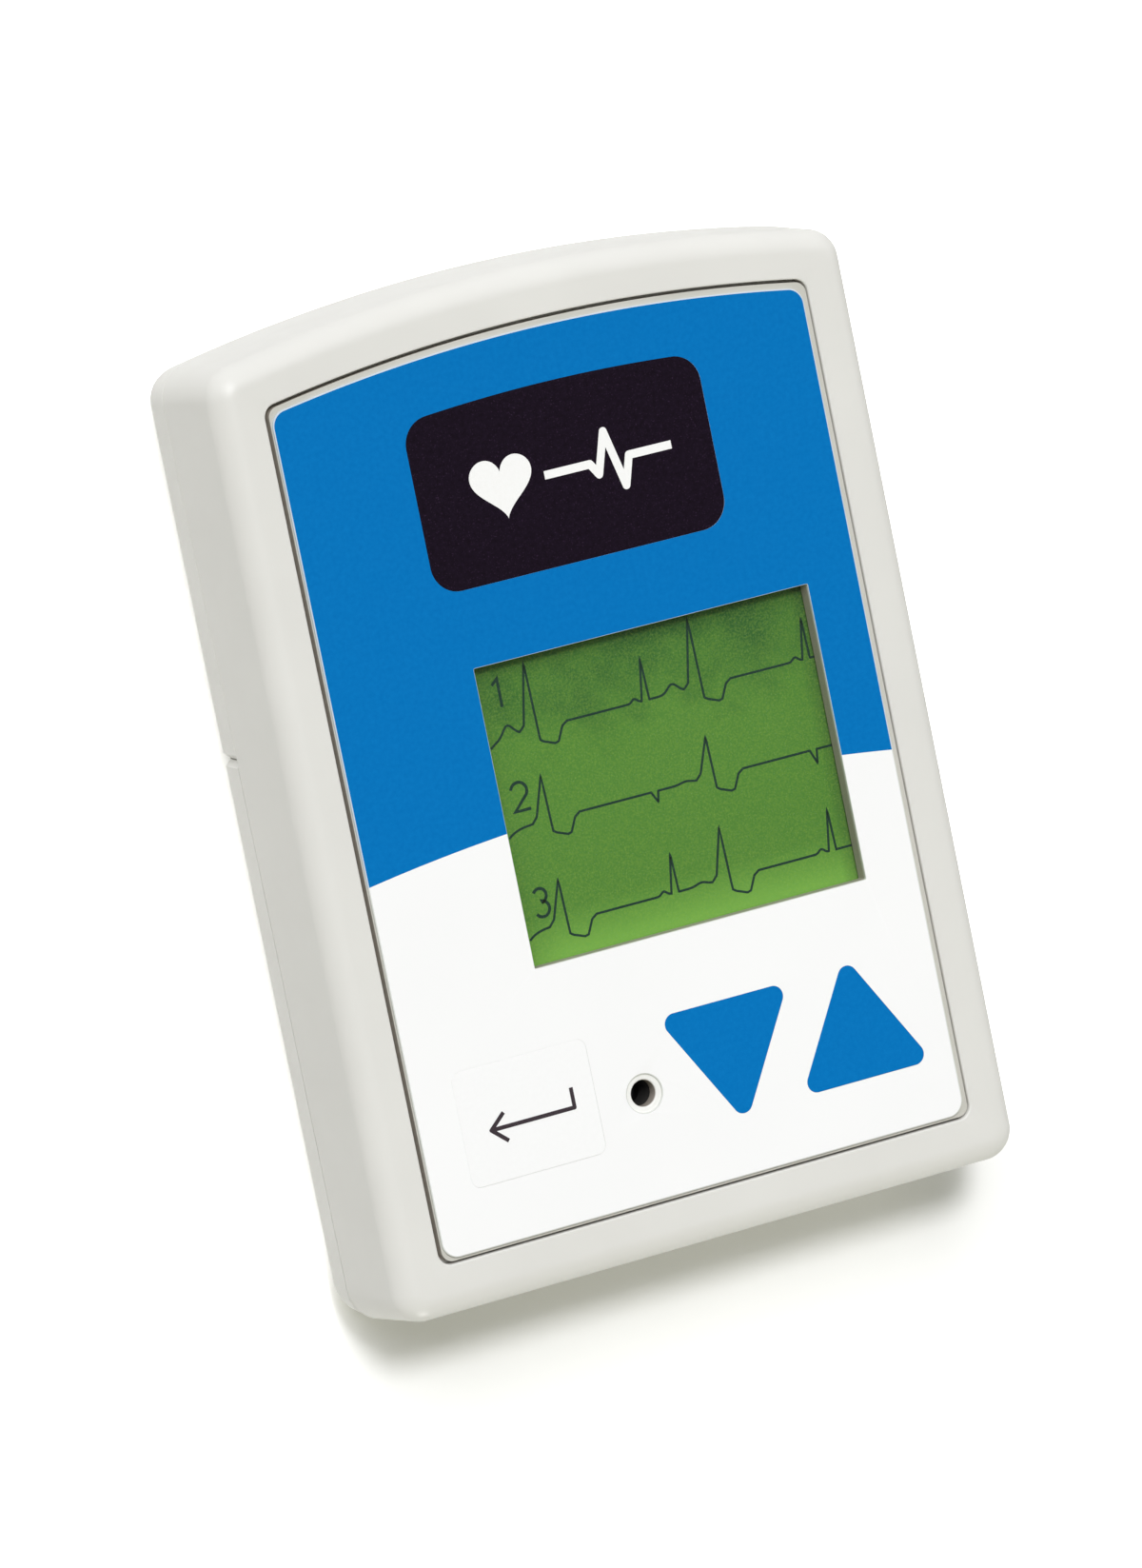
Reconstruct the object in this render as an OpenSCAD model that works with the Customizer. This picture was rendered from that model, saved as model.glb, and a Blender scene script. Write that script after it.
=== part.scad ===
// Hand-held ECG event recorder, lying on its back
// X runs to the right, Y up the device and Z out of its face.
// The origin is the middle of the back, on the surface that the device rests on.

/* [Housing] */
// Width of the housing at the parting line
case_w = 71.8; // [68:0.2:78]
// Height of the housing at the parting line, up to the crown of its arched top end
case_h = 101.4; // [98:0.2:110]
// Radius of the arched top end
case_arch_r = 172; // [140:1:260]
// Corner radius of the housing in plan
case_corner_r = 3.8; // [3:0.1:6]
// Depth of the front half, from the parting line to the rim
front_d = 12.1; // [11.8:0.1:12.8]
// How much the front half narrows on each side through its mould draft
side_draft = 0.55; // [0:0.05:1]
// Radius of the rounded edge between the sides and the rim
front_fillet = 2.6; // [1.5:0.1:3]
// Angle by which the rear half leans in towards the back
rear_tilt = 6.5; // [3:0.5:10]
// Radius of the rounded edge between the sides and the back
rear_fillet = 4.8; // [3:0.1:5]
// Thickness of the side walls
wall_t = 2.4; // [2:0.1:2.6]
// Thickness of the back
floor_t = 1.8; // [1.5:0.1:2.4]

/* [Face] */
// Width of the rim along the sides of the face
rim_w = 5; // [4:0.1:6]
// Width of the rim at the two ends of the face
rim_end_w = 5.2; // [4:0.1:6]
// Radius of the arched top edge inside the rim
panel_arch_r = 176; // [140:1:220]
// Corner radius inside the rim
panel_corner_r = 1.4; // [1.2:0.1:2.4]
// Width of the seat under the edge of the front plate
ledge_w = 1.5; // [1.2:0.1:2]
// Thickness of that seat
ledge_t = 1.6; // [1.4:0.1:1.8]
// Dark gap between the rim and the front plate
plate_gap = 0.3; // [0.1:0.05:0.5]
// Thickness of the front plate
plate_t = 1.5; // [1.3:0.1:2]
// Light band of plate that shows beside the printed film
film_side_band = 0.4; // [0.2:0.05:0.8]
// Light band of plate that shows above the printed film
film_top_band = 0.8; // [0.2:0.05:1]
// Light band of plate that shows below the printed film
film_foot_band = 0.3; // [0.2:0.05:0.8]
// Thickness of the printed film
film_t = 0.25; // [0.15:0.05:0.4]
// How far the film lies below the rim
film_drop = 0.05; // [0:0.05:0.2]
// Radius of the curved line between the blue and the white field
field_arc_r = 201; // [180:1:320]
// Height of that line's crown above the middle of the housing
field_y = -4.1; // [-8:0.1:0]

/* [Display] */
// Width of the window in the film
window_w = 37.8; // [34:0.1:39]
// Height of the window in the film
window_h = 30.7; // [28:0.1:31.5]
// Middle of the window, across
window_x = 5; // [3.5:0.05:5.2]
// Middle of the window, up from the middle of the housing
window_y = -3.1; // [-3.5:0.05:-2.5]
// How far the clear window runs under the film on each side
window_lap = 1.4; // [1:0.1:1.8]
// Thickness of the clear window
window_t = 0.5; // [0.3:0.1:0.8]
// Thickness of the display glass
lcd_t = 1.4; // [1.1:0.1:1.8]
// How far the display glass runs past the window on each side
lcd_lap = 2.6; // [2.2:0.1:2.8]
// Thickness of the light guide behind the display
backlight_t = 0.8; // [0.6:0.1:1.2]
// Wall of the frame round the display
lcd_frame_t = 1; // [0.8:0.1:1.2]

/* [Keys] */
// Width of the event key
event_w = 32.8; // [28:0.1:34]
// Height of the event key
event_h = 18.1; // [15:0.1:19.5]
// Radius of the event key's arched top edge
event_arch_r = 175; // [140:1:220]
// Corner radius of the event key
event_corner_r = 2.8; // [1.5:0.1:4]
// Middle of the event key, across
event_x = 0.2; // [-1:0.1:1]
// Middle of the event key, up from the middle of the housing
event_y = 29.25; // [29:0.05:31]
// Width of the enter key
enter_w = 14.85; // [12:0.05:15]
// Height of the enter key
enter_h = 11.7; // [9:0.05:12]
// Corner radius of the enter key
enter_corner_r = 0.9; // [0.5:0.1:2]
// Middle of the enter key, across
enter_x = -17.7; // [-19:0.05:-17.5]
// Middle of the lower row of keys, up from the middle of the housing
key_row_y = -32.35; // [-34:0.05:-32]
// Width of an arrow key
arrow_w = 13.3; // [11:0.1:14]
// Height of an arrow key
arrow_h = 11.6; // [10:0.1:12]
// Corner radius of an arrow key
arrow_corner_r = 1; // [0.5:0.1:1.6]
// Middle of the down key, across
down_x = 5.5; // [5:0.05:5.8]
// Distance between the two arrow keys
arrow_pitch = 14.2; // [13.5:0.1:14.4]
// Gap round a key
key_gap = 0.1; // [0.06:0.01:0.2]
// How far a key travels
key_travel = 0.35; // [0.2:0.05:0.4]
// Thickness of the flange that keeps a key behind the plate
key_flange_t = 0.8; // [0.6:0.1:0.9]
// How far that flange stands out past the key
key_flange_w = 0.7; // [0.5:0.1:0.9]
// Diameter of a key's push stem
key_stem_d = 2.4; // [1.6:0.1:3]
// Diameter of a snap dome
dome_d = 7; // [5:0.5:8]
// Height of a snap dome
dome_h = 0.5; // [0.3:0.05:0.6]
// Thickness of a snap dome's sheet
dome_t = 0.12; // [0.08:0.02:0.2]

/* [Sound port] */
// Diameter of the hole in the film
port_film_d = 3.9; // [3.4:0.1:4.6]
// Diameter of the hole in the plate
port_d = 2.7; // [2:0.1:3.1]
// Middle of the sound port, across
port_x = -4.9; // [-5.4:0.05:-4.8]
// Middle of the sound port, up from the middle of the housing
port_y = -33.55; // [-35:0.05:-32]
// Diameter of the sounder
sounder_d = 9; // [8:0.1:9.2]
// Height of the sounder
sounder_h = 2.6; // [2:0.1:4]
// Outer diameter of the sounder's gasket
gasket_d = 5.6; // [5:0.1:6.4]

/* [Power] */
// Diameter of a cell
cell_d = 10.5; // [10.2:0.1:10.6]
// Length of a cell over its contact nub
cell_l = 44.5; // [44:0.1:44.8]
// Diameter of a cell's contact nub
nub_d = 3.8; // [3.4:0.1:4]
// Height of a cell's contact nub
nub_h = 1; // [0.8:0.1:1.3]
// Space between the two cells
cell_space = 0.5; // [0.3:0.1:0.7]
// Play round a cell in its bay
cell_gap = 0.3; // [0.2:0.05:0.4]
// Middle of the battery bay, across
bay_x = 12.2; // [12:0.05:12.3]
// Wall of the battery bay
bay_wall_t = 1.2; // [1:0.1:1.3]
// Thickness of the bay's roof, under the circuit board
bay_roof_t = 1; // [0.8:0.1:1.4]
// Height of a pressed battery spring
spring_h = 3.1; // [2.6:0.1:4]
// Wire diameter of a battery spring
spring_wire_d = 0.6; // [0.4:0.05:0.7]
// Turns of a battery spring
spring_turns = 3; // [2:1:3]
// Thickness of the contact sheet
contact_t = 0.4; // [0.3:0.05:0.5]

/* [Battery door] */
// Length of the door, from the lower end of the housing to the seam
door_l = 58.3; // [56:0.1:66]
// Running gap round the door
door_gap = 0.15; // [0.1:0.05:0.2]
// Depth of the groove along the seam
seam_groove = 0.6; // [0.3:0.1:0.9]
// Thickness of the deck behind the door
deck_t = 2.2; // [2:0.1:2.4]
// How far the deck's side tongues stand out
tongue_w = 0.75; // [0.5:0.05:0.9]
// Thickness of the deck's side tongues
tongue_t = 0.8; // [0.6:0.1:1]
// Width of the finger that holds the door's upper edge
finger_w = 12; // [8:0.5:14]
// Length of that finger past the seam
finger_l = 3.6; // [2.6:0.1:5]
// Thickness of that finger
finger_t = 0.9; // [0.7:0.1:1.2]
// Width of the thumb grip
grip_w = 22; // [16:1:30]
// Height of the thumb grip
grip_h = 9; // [7:0.5:12]
// Depth of the thumb grip
grip_depth = 0.7; // [0.4:0.1:0.9]
// Distance from the seam down to the middle of the thumb grip
grip_drop = 13; // [10:0.5:16]
// Number of ridges in the thumb grip
grip_ridges = 4; // [3:1:5]

/* [Circuit board] */
// Thickness of the circuit board
board_t = 1.2; // [1:0.1:1.6]
// Gap between the board and the battery bay
board_gap = 0.5; // [0.4:0.1:1]
// Play round the board in the housing
board_play = 0.4; // [0.3:0.05:0.6]

/* [Screws] */
// Distance of the case screws from the sides
case_screw_side = 8.3; // [8:0.1:9]
// Distance of the lower case screws from the lower end
case_screw_low = 6.7; // [6.4:0.1:8]
// Distance of the upper case screws from the upper end
case_screw_high = 10.8; // [10:0.1:12]
// Shank diameter of a case screw
case_screw_d = 2; // [1.8:0.1:2.2]
// Length of a case screw's shank
case_screw_l = 9; // [8:0.5:10]
// Outer diameter of a case screw's boss
boss_d = 5.2; // [4.8:0.1:5.4]
// Shank diameter of a board screw
board_screw_d = 1.5; // [1.3:0.1:1.6]
// Height of the two board screws on each side, from the middle of the housing
board_screw_y = 19; // [15:1:24]

/* [Lead jack] */
// Diameter of the jack's bore
jack_bore_d = 3.6; // [3.5:0.05:3.7]
// Depth of the jack's bore
jack_bore_l = 12.5; // [11:0.5:13]
// Outer diameter of the jack's collar
jack_collar_d = 5.6; // [5:0.1:5.8]
// Middle of the jack, across
jack_x = -20; // [-20.6:0.1:-18]

/* [Hidden] */
$fn = 64;

housing_colour = [0.87, 0.87, 0.85];
plate_colour = [0.80, 0.78, 0.74];
blue_colour = [0.03, 0.47, 0.75];
white_colour = [0.97, 0.97, 0.97];
key_colour = [0.12, 0.08, 0.14];
board_colour = [0.05, 0.32, 0.16];
chip_colour = [0.10, 0.10, 0.11];
steel_colour = [0.72, 0.73, 0.75];

// Play between pieces that are clipped or laid into each other
fit = 0.1;
// Small distance by which a cutting solid runs past what it cuts
past = 1;
corner_steps = 6;
arch_steps = 10;

// Heights, stacked up from the back
cell_z = floor_t + cell_gap + cell_d / 2;
bay_roof_z = cell_z + cell_d / 2 + cell_gap;
board_z = bay_roof_z + bay_roof_t + board_gap;
board_top_z = board_z + board_t;
backlight_z = board_top_z + fit / 2;
lcd_z = backlight_z + backlight_t;
lcd_top_z = lcd_z + lcd_t;
lcd_cover = 0.35;
plate_z = lcd_top_z + lcd_cover;
film_z = plate_z + plate_t;
face_z = film_z + film_t;
case_d = face_z + film_drop;
parting_z = case_d - front_d;
ledge_z = plate_z - ledge_t;
deck_z = parting_z - deck_t;

// Plan positions
low_y = -case_h / 2;
seam_y = low_y + door_l;
panel_w = case_w - 2 * (rim_w + side_draft);
panel_h = case_h - 2 * (rim_end_w + side_draft);
boss_x = case_w / 2 - case_screw_side;
boss_low_y = low_y + case_screw_low;
boss_high_y = case_h / 2 - case_screw_high;
board_screw_x = case_w / 2 - wall_t - 2.3;
up_x = down_x + arrow_pitch;
arrow_stem_y = arrow_h / 6;
key_room = key_flange_t + key_travel + 2 * fit;
lcd_low_y = window_y - window_h / 2 - lcd_lap;
connector_w = 1.6;

// Small features of the housing
bulkhead_t = 1.4;
rib_t = 1.2;
lip_t = 0.9;
lip_h = 0.9;
finger_x = -16;
tongue_start_y = low_y + 6;
door_rib_xs = [-26, -6, 29];

// Screw heads, and the board screws' length
case_head_d = 1.9 * case_screw_d;
board_head_d = 1.9 * board_screw_d;
board_screw_l = board_t + ledge_z - board_top_z + ledge_t - 0.4;

// Lead jack
jack_w = 6.2;
jack_h = 5;
jack_face = 0.5;
jack_z = board_z - jack_h / 2 - fit;

// Parts under the circuit board: distance from the board's side or place, then size
board_side_x = case_w / 2 - wall_t - board_play;
processor_x = -10;
processor_y = 27;
processor_w = 12;
processor_t = 1.4;
amplifier_side = 13.1;
amplifier_y = -18;
amplifier_w = 7;
amplifier_h = 9;
amplifier_t = 1.5;
memory_x = 9;
memory_y = 29;
memory_w = 8;
memory_h = 10;
memory_t = 1.1;
crystal_side = 11.1;
crystal_y = 11;
crystal_w = 9.6;
crystal_h = 4;
crystal_t = 3.4;
inductor_side = 13.1;
inductor_y = 17;
inductor_w = 7;
inductor_t = 3.2;
can_side = 12.1;
can_y = 28;
can_d = 6.3;
can_t = 5.4;
ceramic_side = 7.1;
ceramic_y = -6;
ceramic_pitch = 3;
ceramic_w = 1.3;
ceramic_h = 2.1;
ceramic_t = 1.2;

// Contact sheets
contact_w = 7;
tab_w = 2.6;

// Battery bay
cell_pitch = cell_d + cell_space;
seat_r = cell_d / 2 + cell_gap;
bay_w = cell_pitch + 2 * seat_r;
bay_l = cell_l + spring_h + 2 * contact_t + 2 * fit;
bay_low_y = low_y + wall_t + door_gap + 0.4 + bay_wall_t;
bay_high_y = bay_low_y + bay_l;
bay_rim_z = floor_t + 0.4;
cell_xs = [bay_x - cell_pitch / 2, bay_x + cell_pitch / 2];

// Points along an arc round (x, y), from one angle to another
function arc(x, y, r, from, to, steps) = [
    for (i = [0:steps])
        let (angle = from + (to - from) * i / steps)
            [x + r * cos(angle), y + r * sin(angle)]
];

// All points of a list but its last
function front_of(points) = [for (i = [0:len(points) - 2]) points[i]];

// The mirror image across the Y axis, which keeps the points running the same way round
function mirrored(points) = [for (i = [len(points) - 1:-1:0]) [-points[i][0], points[i][1]]];

// Outline with straight sides and a straight lower edge under an arched upper one
function arched_outline(w, h, arch_r, corner_r) =
    let (
        side = w / 2,
        crown = h / 2,
        corner_x = side - corner_r,
        corner_y = crown - arch_r + sqrt(pow(arch_r - corner_r, 2) - pow(corner_x, 2)),
        corner_end = atan2(corner_y - crown + arch_r, corner_x),
        right = concat(
            arc(corner_x, -crown + corner_r, corner_r, -90, 0, corner_steps),
            front_of(arc(corner_x, corner_y, corner_r, 0, corner_end, corner_steps)),
            arc(0, crown - arch_r, arch_r, corner_end, 90, arch_steps)
        )
    )
    concat(front_of(right), mirrored(right));

// Outline of a triangle that points up, with rounded corners, made larger all round by grow
function triangle_outline(w, h, corner_r, grow) =
    let (
        base_x = w / 2 - corner_r,
        base_y = corner_r - h / 2,
        lean = atan2(base_x, h - 2 * corner_r),
        r = corner_r + grow
    )
    concat(
        arc(base_x, base_y, r, -90, lean, corner_steps),
        arc(0, -base_y, r, lean, 180 - lean, corner_steps),
        arc(-base_x, base_y, r, 180 - lean, 270, corner_steps)
    );

// Outline of the housing in plan, drawn in by an inset
function case_outline(inset) = arched_outline(
    case_w - 2 * inset,
    case_h - 2 * inset,
    case_arch_r - inset,
    max(case_corner_r - inset, 0.6)
);

// Outline of the opening inside the rim, drawn in by an inset
function panel_outline(inset) = arched_outline(
    panel_w - 2 * inset,
    panel_h - 2 * inset,
    panel_arch_r - inset,
    max(panel_corner_r - inset, 0.6)
);

// Outline of the printed film, which lies a little below the middle of the plate
function film_outline() =
    let (
        outline = arched_outline(
            panel_w - 2 * (plate_gap + film_side_band),
            panel_h - 2 * plate_gap - film_top_band - film_foot_band,
            panel_arch_r,
            max(panel_corner_r - plate_gap - film_side_band, 0.6)
        )
    )
    [for (point = outline) [point[0], point[1] + (film_foot_band - film_top_band) / 2]];

// Each level of a skin is a height and an inset of the housing's outline
front_levels = concat(
    [[parting_z, 0]],
    [
        for (angle = [0:15:90])
            [
                case_d - front_fillet * (1 - sin(angle)),
                side_draft + front_fillet * (1 - cos(angle))
            ]
    ]
);
rear_centre_inset = (parting_z - rear_fillet) * tan(rear_tilt) + rear_fillet / cos(rear_tilt);
rear_steps = 6;
rear_levels = concat(
    [
        for (i = [0:rear_steps])
            let (angle = 90 + (rear_tilt - 90) * i / rear_steps)
                [
                    rear_fillet * (1 - sin(angle)),
                    rear_centre_inset - rear_fillet * cos(angle)
                ]
    ],
    [[parting_z, 0]]
);

// Solid through a stack of level outlines that all have as many points
module loft(levels) {
    rings = [for (level = levels) case_outline(level[1])];
    count = len(rings[0]);
    last = (len(levels) - 1) * count;
    polyhedron(
        points = [
            for (k = [0:len(levels) - 1])
                for (point = rings[k])
                    [point[0], point[1], levels[k][0]]
        ],
        faces = concat(
            [[for (i = [0:count - 1]) i]],
            [
                for (k = [0:len(levels) - 2])
                    for (i = [0:count - 1])
                        let (a = k * count + i, b = k * count + (i + 1) % count)
                            each [[a, a + count, b + count], [a, b + count, b]]
            ],
            [[for (i = [count - 1:-1:0]) last + i]]
        )
    );
}

// Upright solid over an outline, between two heights
module prism(from_z, to_z, outline) {
    translate([0, 0, from_z])
        linear_extrude(to_z - from_z)
            polygon(outline);
}

// Box from one corner to the opposite one
module box(low, high) {
    translate(low)
        cube(high - low);
}

// Flat rectangle with rounded corners, round the origin
module rounded_rectangle(w, h, r) {
    square([w - 2 * r, h], center = true);
    square([w, h - 2 * r], center = true);
    for (x = [-1, 1], y = [-1, 1])
        translate([x * (w / 2 - r), y * (h / 2 - r)])
            circle(r);
}

// Places a child at each case screw
module at_case_screws(rows = [boss_low_y, boss_high_y]) {
    for (x = [-boss_x, boss_x], y = rows)
        translate([x, y, 0])
            children();
}

// Places a child at each board screw
module at_board_screws() {
    for (x = [-board_screw_x, board_screw_x], y = [-board_screw_y, board_screw_y])
        translate([x, y, 0])
            children();
}

// Outlines of the keys, made larger all round by grow
module event_outline(grow) {
    translate([event_x, event_y])
        polygon(arched_outline(
            event_w + 2 * grow,
            event_h + 2 * grow,
            event_arch_r + grow,
            event_corner_r + grow
        ));
}

module enter_outline(grow) {
    translate([enter_x, key_row_y])
        rounded_rectangle(enter_w + 2 * grow, enter_h + 2 * grow, enter_corner_r + grow);
}

module arrow_outline(x, turn, grow) {
    translate([x, key_row_y])
        rotate(turn)
            polygon(triangle_outline(arrow_w, arrow_h, arrow_corner_r, grow));
}

module key_outlines(grow) {
    event_outline(grow);
    enter_outline(grow);
    arrow_outline(down_x, 180, grow);
    arrow_outline(up_x, 0, grow);
}

module window_outline(grow) {
    translate([window_x, window_y])
        square([window_w + 2 * grow, window_h + 2 * grow], center = true);
}

// Shows a child on the right and its mirror image on the left
module both_sides() {
    children();
    mirror([1, 0, 0])
        children();
}

// The part of a child between two heights along Y
module between_y(from_y, to_y) {
    intersection() {
        children();
        box([-case_w, from_y, -past], [case_w, to_y, case_d + past]);
    }
}

// Drop of the housing's arched end below its crown
function arch_drop(x) = case_arch_r - sqrt(pow(case_arch_r, 2) - pow(x, 2));

// Front half of the housing: drafted sides, rounded edge, flat rim, seat for the plate and screw bosses.
// The last two cuts keep the seat and the bosses clear of the display's frame and the keys' flanges.
module front_shell() color(housing_colour) difference() {
    union() {
        difference() {
            loft(front_levels);
            prism(parting_z - past, ledge_z, case_outline(wall_t));
            prism(ledge_z - past, plate_z + past, panel_outline(ledge_w));
            prism(plate_z, case_d + past, panel_outline(0));
        }
        at_case_screws()
            translate([0, 0, parting_z])
                cylinder(d = boss_d, h = plate_z - parting_z);
        both_sides()
            boss_ribs();
        at_board_screws()
            translate([0, 0, board_top_z])
                cylinder(d = board_screw_d + 2.2, h = ledge_z + ledge_t / 2 - board_top_z);
    }
    at_case_screws()
        translate([0, 0, parting_z - past])
            cylinder(d = case_screw_d + fit, h = deck_z + case_screw_l + fit - parting_z + past);
    at_board_screws()
        translate([0, 0, board_top_z - past])
            cylinder(d = board_screw_d + fit, h = board_screw_l - board_t + fit + past);
    translate([jack_x, low_y - past, jack_z])
        rotate([-90, 0, 0])
            cylinder(d = jack_collar_d + 2 * fit, h = wall_t + 2 * past);
    translate([0, 0, board_top_z])
        linear_extrude(plate_z - board_top_z)
            window_outline(lcd_lap + lcd_frame_t + 3 * fit);
    translate([0, 0, plate_z - key_room])
        linear_extrude(key_room)
            key_outlines(key_flange_w + 2 * fit);
}

// Ribs that tie the right-hand screw bosses to the side and to the ends of the front half
module boss_ribs() {
    rib_z = parting_z + lip_h + 0.5;
    reach = boss_d / 3;
    side_x = case_w / 2 - wall_t / 2;
    end_y = case_h / 2 - wall_t / 2 - arch_drop(boss_x);
    for (y = [boss_low_y, boss_high_y])
        box([boss_x + reach, y - rib_t / 2, rib_z], [side_x, y + rib_t / 2, ledge_z + ledge_t / 2]);
    box(
        [boss_x - rib_t / 2, low_y + wall_t / 2, rib_z],
        [boss_x + rib_t / 2, boss_low_y - reach, ledge_z + ledge_t / 2]
    );
    box(
        [boss_x - rib_t / 2, boss_high_y + reach, rib_z],
        [boss_x + rib_t / 2, end_y, ledge_z + ledge_t / 2]
    );
}

// Skin of the rear half, drawn in all round by an inset
module rear_skin(inset) {
    loft([for (level = rear_levels) [max(level[0], inset), level[1] + inset]]);
}

// Outer form of the rear shell (side 1) or of the door (side -1), with a bevel along their seam
module rear_form(side) {
    edge_y = seam_y + side * door_gap / 2;
    shoulder_y = edge_y + side * seam_groove;
    far_y = side * case_h;
    hull() {
        between_y(min(shoulder_y, far_y), max(shoulder_y, far_y))
            rear_skin(0);
        between_y(min(edge_y, shoulder_y), max(edge_y, shoulder_y))
            rear_skin(seam_groove);
    }
}

// Rear half of the housing: upper back, deck under the door, battery bay, lip and screw bosses
module rear_shell() color(housing_colour) difference() {
    union() {
        difference() {
            rear_form(1);
            between_y(seam_y + bulkhead_t, case_h)
                prism(floor_t, parting_z + past, case_outline(wall_t));
        }
        between_y(-case_h, seam_y + bulkhead_t)
            prism(deck_z, parting_z, case_outline(wall_t + door_gap));
        both_sides()
            box(
                [case_w / 2 - wall_t - past, tongue_start_y, deck_z],
                [case_w / 2 - wall_t + tongue_w, seam_y + past / 2, deck_z + tongue_t]
            );
        alignment_lip();
        box(
            [bay_x - bay_w / 2 - bay_wall_t, bay_low_y - bay_wall_t, bay_rim_z],
            [bay_x + bay_w / 2 + bay_wall_t, bay_high_y + bay_wall_t, bay_roof_z + bay_roof_t]
        );
        at_case_screws([boss_high_y])
            translate([0, 0, floor_t / 2])
                cylinder(d = case_head_d + 2.6, h = parting_z - floor_t / 2);
    }
    battery_bay();
    at_case_screws()
        translate([0, 0, deck_z - past])
            cylinder(d = case_screw_d + 4 * fit, h = deck_t + 2 * past);
    at_case_screws([boss_high_y])
        translate([0, 0, -past])
            cylinder(d = case_head_d + 4 * fit, h = deck_z + past);
    box(
        [finger_x - finger_w / 2 - 2 * fit, seam_y - past, floor_t],
        [finger_x + finger_w / 2 + 2 * fit, seam_y + bulkhead_t + past, floor_t + finger_t + 2 * fit]
    );
}

// Lip inside the parting line that lines the two halves up
module alignment_lip() {
    difference() {
        prism(parting_z - past / 2, parting_z + lip_h, case_outline(wall_t + fit));
        prism(parting_z - past, parting_z + lip_h + past, case_outline(wall_t + fit + lip_t));
        box([-case_w, -case_h, 0], [case_w, case_h, parting_z - deck_t / 2]);
    }
}

// Space of the two cells, with round seats above them and slots for the contacts' tabs
module battery_bay() {
    box([bay_x - bay_w / 2, bay_low_y, -past], [bay_x + bay_w / 2, bay_high_y, cell_z]);
    for (x = cell_xs) {
        translate([x, bay_low_y, cell_z])
            rotate([-90, 0, 0])
                cylinder(r = seat_r, h = bay_l);
        box(
            [x - tab_w / 2 - fit, bay_high_y - contact_t - 2 * fit, cell_z],
            [x + tab_w / 2 + fit, bay_high_y, board_z]
        );
    }
}

// Door over the cells: a tray that slides off the deck's tongues towards the lower end
module battery_door() color(housing_colour) difference() {
    union() {
        difference() {
            rear_form(-1);
            prism(floor_t, parting_z + past, case_outline(wall_t));
        }
        box(
            [finger_x - finger_w / 2, seam_y - 5, floor_t / 2],
            [finger_x + finger_w / 2, seam_y - 1, floor_t + fit + finger_t]
        );
        box(
            [finger_x - finger_w / 2, seam_y - 2, floor_t + fit],
            [finger_x + finger_w / 2, seam_y + finger_l, floor_t + fit + finger_t]
        );
        for (x = door_rib_xs)
            box([x - rib_t / 2, low_y + wall_t, floor_t / 2], [x + rib_t / 2, seam_y - 8, floor_t + rib_t]);
    }
    box([-case_w, -case_h, parting_z - door_gap], [case_w, case_h, parting_z + past]);
    both_sides()
        box(
            [case_w / 2 - wall_t - past, tongue_start_y - door_gap, deck_z - door_gap],
            [case_w / 2 - wall_t + tongue_w + door_gap, seam_y + past, deck_z + tongue_t + door_gap]
        );
    thumb_grip();
}

// Sunk field with cross ridges on the door's back
module thumb_grip() {
    ridge_w = 0.9;
    pitch = grip_h / (grip_ridges + 1);
    translate([0, seam_y - grip_drop, -past])
        difference() {
            linear_extrude(past + grip_depth)
                rounded_rectangle(grip_w, grip_h, 2);
            for (i = [1:grip_ridges])
                translate([0, i * pitch - grip_h / 2, past + fit + case_d / 2])
                    cube([grip_w - 5, ridge_w, case_d], center = true);
        }
}

// Stiff plate in the well of the front half, with the holes for the keys, the window and the sound port
module front_plate() color(plate_colour) difference() {
    prism(plate_z, film_z, panel_outline(plate_gap));
    translate([0, 0, plate_z - past])
        linear_extrude(plate_t + 2 * past)
            key_outlines(key_gap);
    translate([0, 0, plate_z - past])
        linear_extrude(plate_t + 2 * past)
            window_outline(0);
    translate([0, 0, film_z - window_t])
        linear_extrude(window_t + past)
            window_outline(window_lap + fit);
    translate([port_x, port_y, plate_z - past])
        cylinder(d = port_d, h = plate_t + 2 * past);
}

// Flat pattern of the printed film
module film_pattern() {
    difference() {
        polygon(film_outline());
        key_outlines(key_gap);
        window_outline(0);
        translate([port_x, port_y])
            circle(d = port_film_d);
    }
}

// The film's white field lies inside a large circle and its blue field outside it
module white_field() {
    translate([0, field_y - field_arc_r])
        circle(r = field_arc_r, $fn = 720);
}

module graphic_overlay() {
    translate([0, 0, film_z])
        union() {
            color(blue_colour)
                linear_extrude(film_t)
                    difference() {
                        film_pattern();
                        white_field();
                    }
            color(white_colour)
                linear_extrude(film_t)
                    intersection() {
                        film_pattern();
                        white_field();
                    }
        }
}

module display_window() color([0.9, 0.95, 0.95, 0.3]) {
    translate([0, 0, film_z - window_t])
        linear_extrude(window_t)
            window_outline(window_lap);
}

// A key is a cap through the film and the plate, a flange behind the plate and a stem over its dome.
// The first child is the cap's outline and the second child is the flange's.
module key(stem_x, stem_y) {
    flange_top_z = plate_z - fit / 2;
    stem_z = board_top_z + dome_h + key_travel + fit / 2;
    translate([0, 0, flange_top_z - key_flange_t / 2])
        linear_extrude(face_z - flange_top_z + key_flange_t / 2)
            children(0);
    translate([0, 0, flange_top_z - key_flange_t])
        linear_extrude(key_flange_t)
            children(1);
    translate([stem_x, stem_y, stem_z])
        cylinder(d = key_stem_d, h = flange_top_z - key_flange_t / 2 - stem_z);
}

module event_key() color(key_colour) {
    key(event_x, event_y) {
        event_outline(0);
        event_outline(key_flange_w);
    }
}

module enter_key() color(white_colour) {
    key(enter_x, key_row_y) {
        enter_outline(0);
        enter_outline(key_flange_w);
    }
}

module down_key() color(blue_colour) {
    key(down_x, key_row_y + arrow_stem_y) {
        arrow_outline(down_x, 180, 0);
        arrow_outline(down_x, 180, key_flange_w);
    }
}

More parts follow.
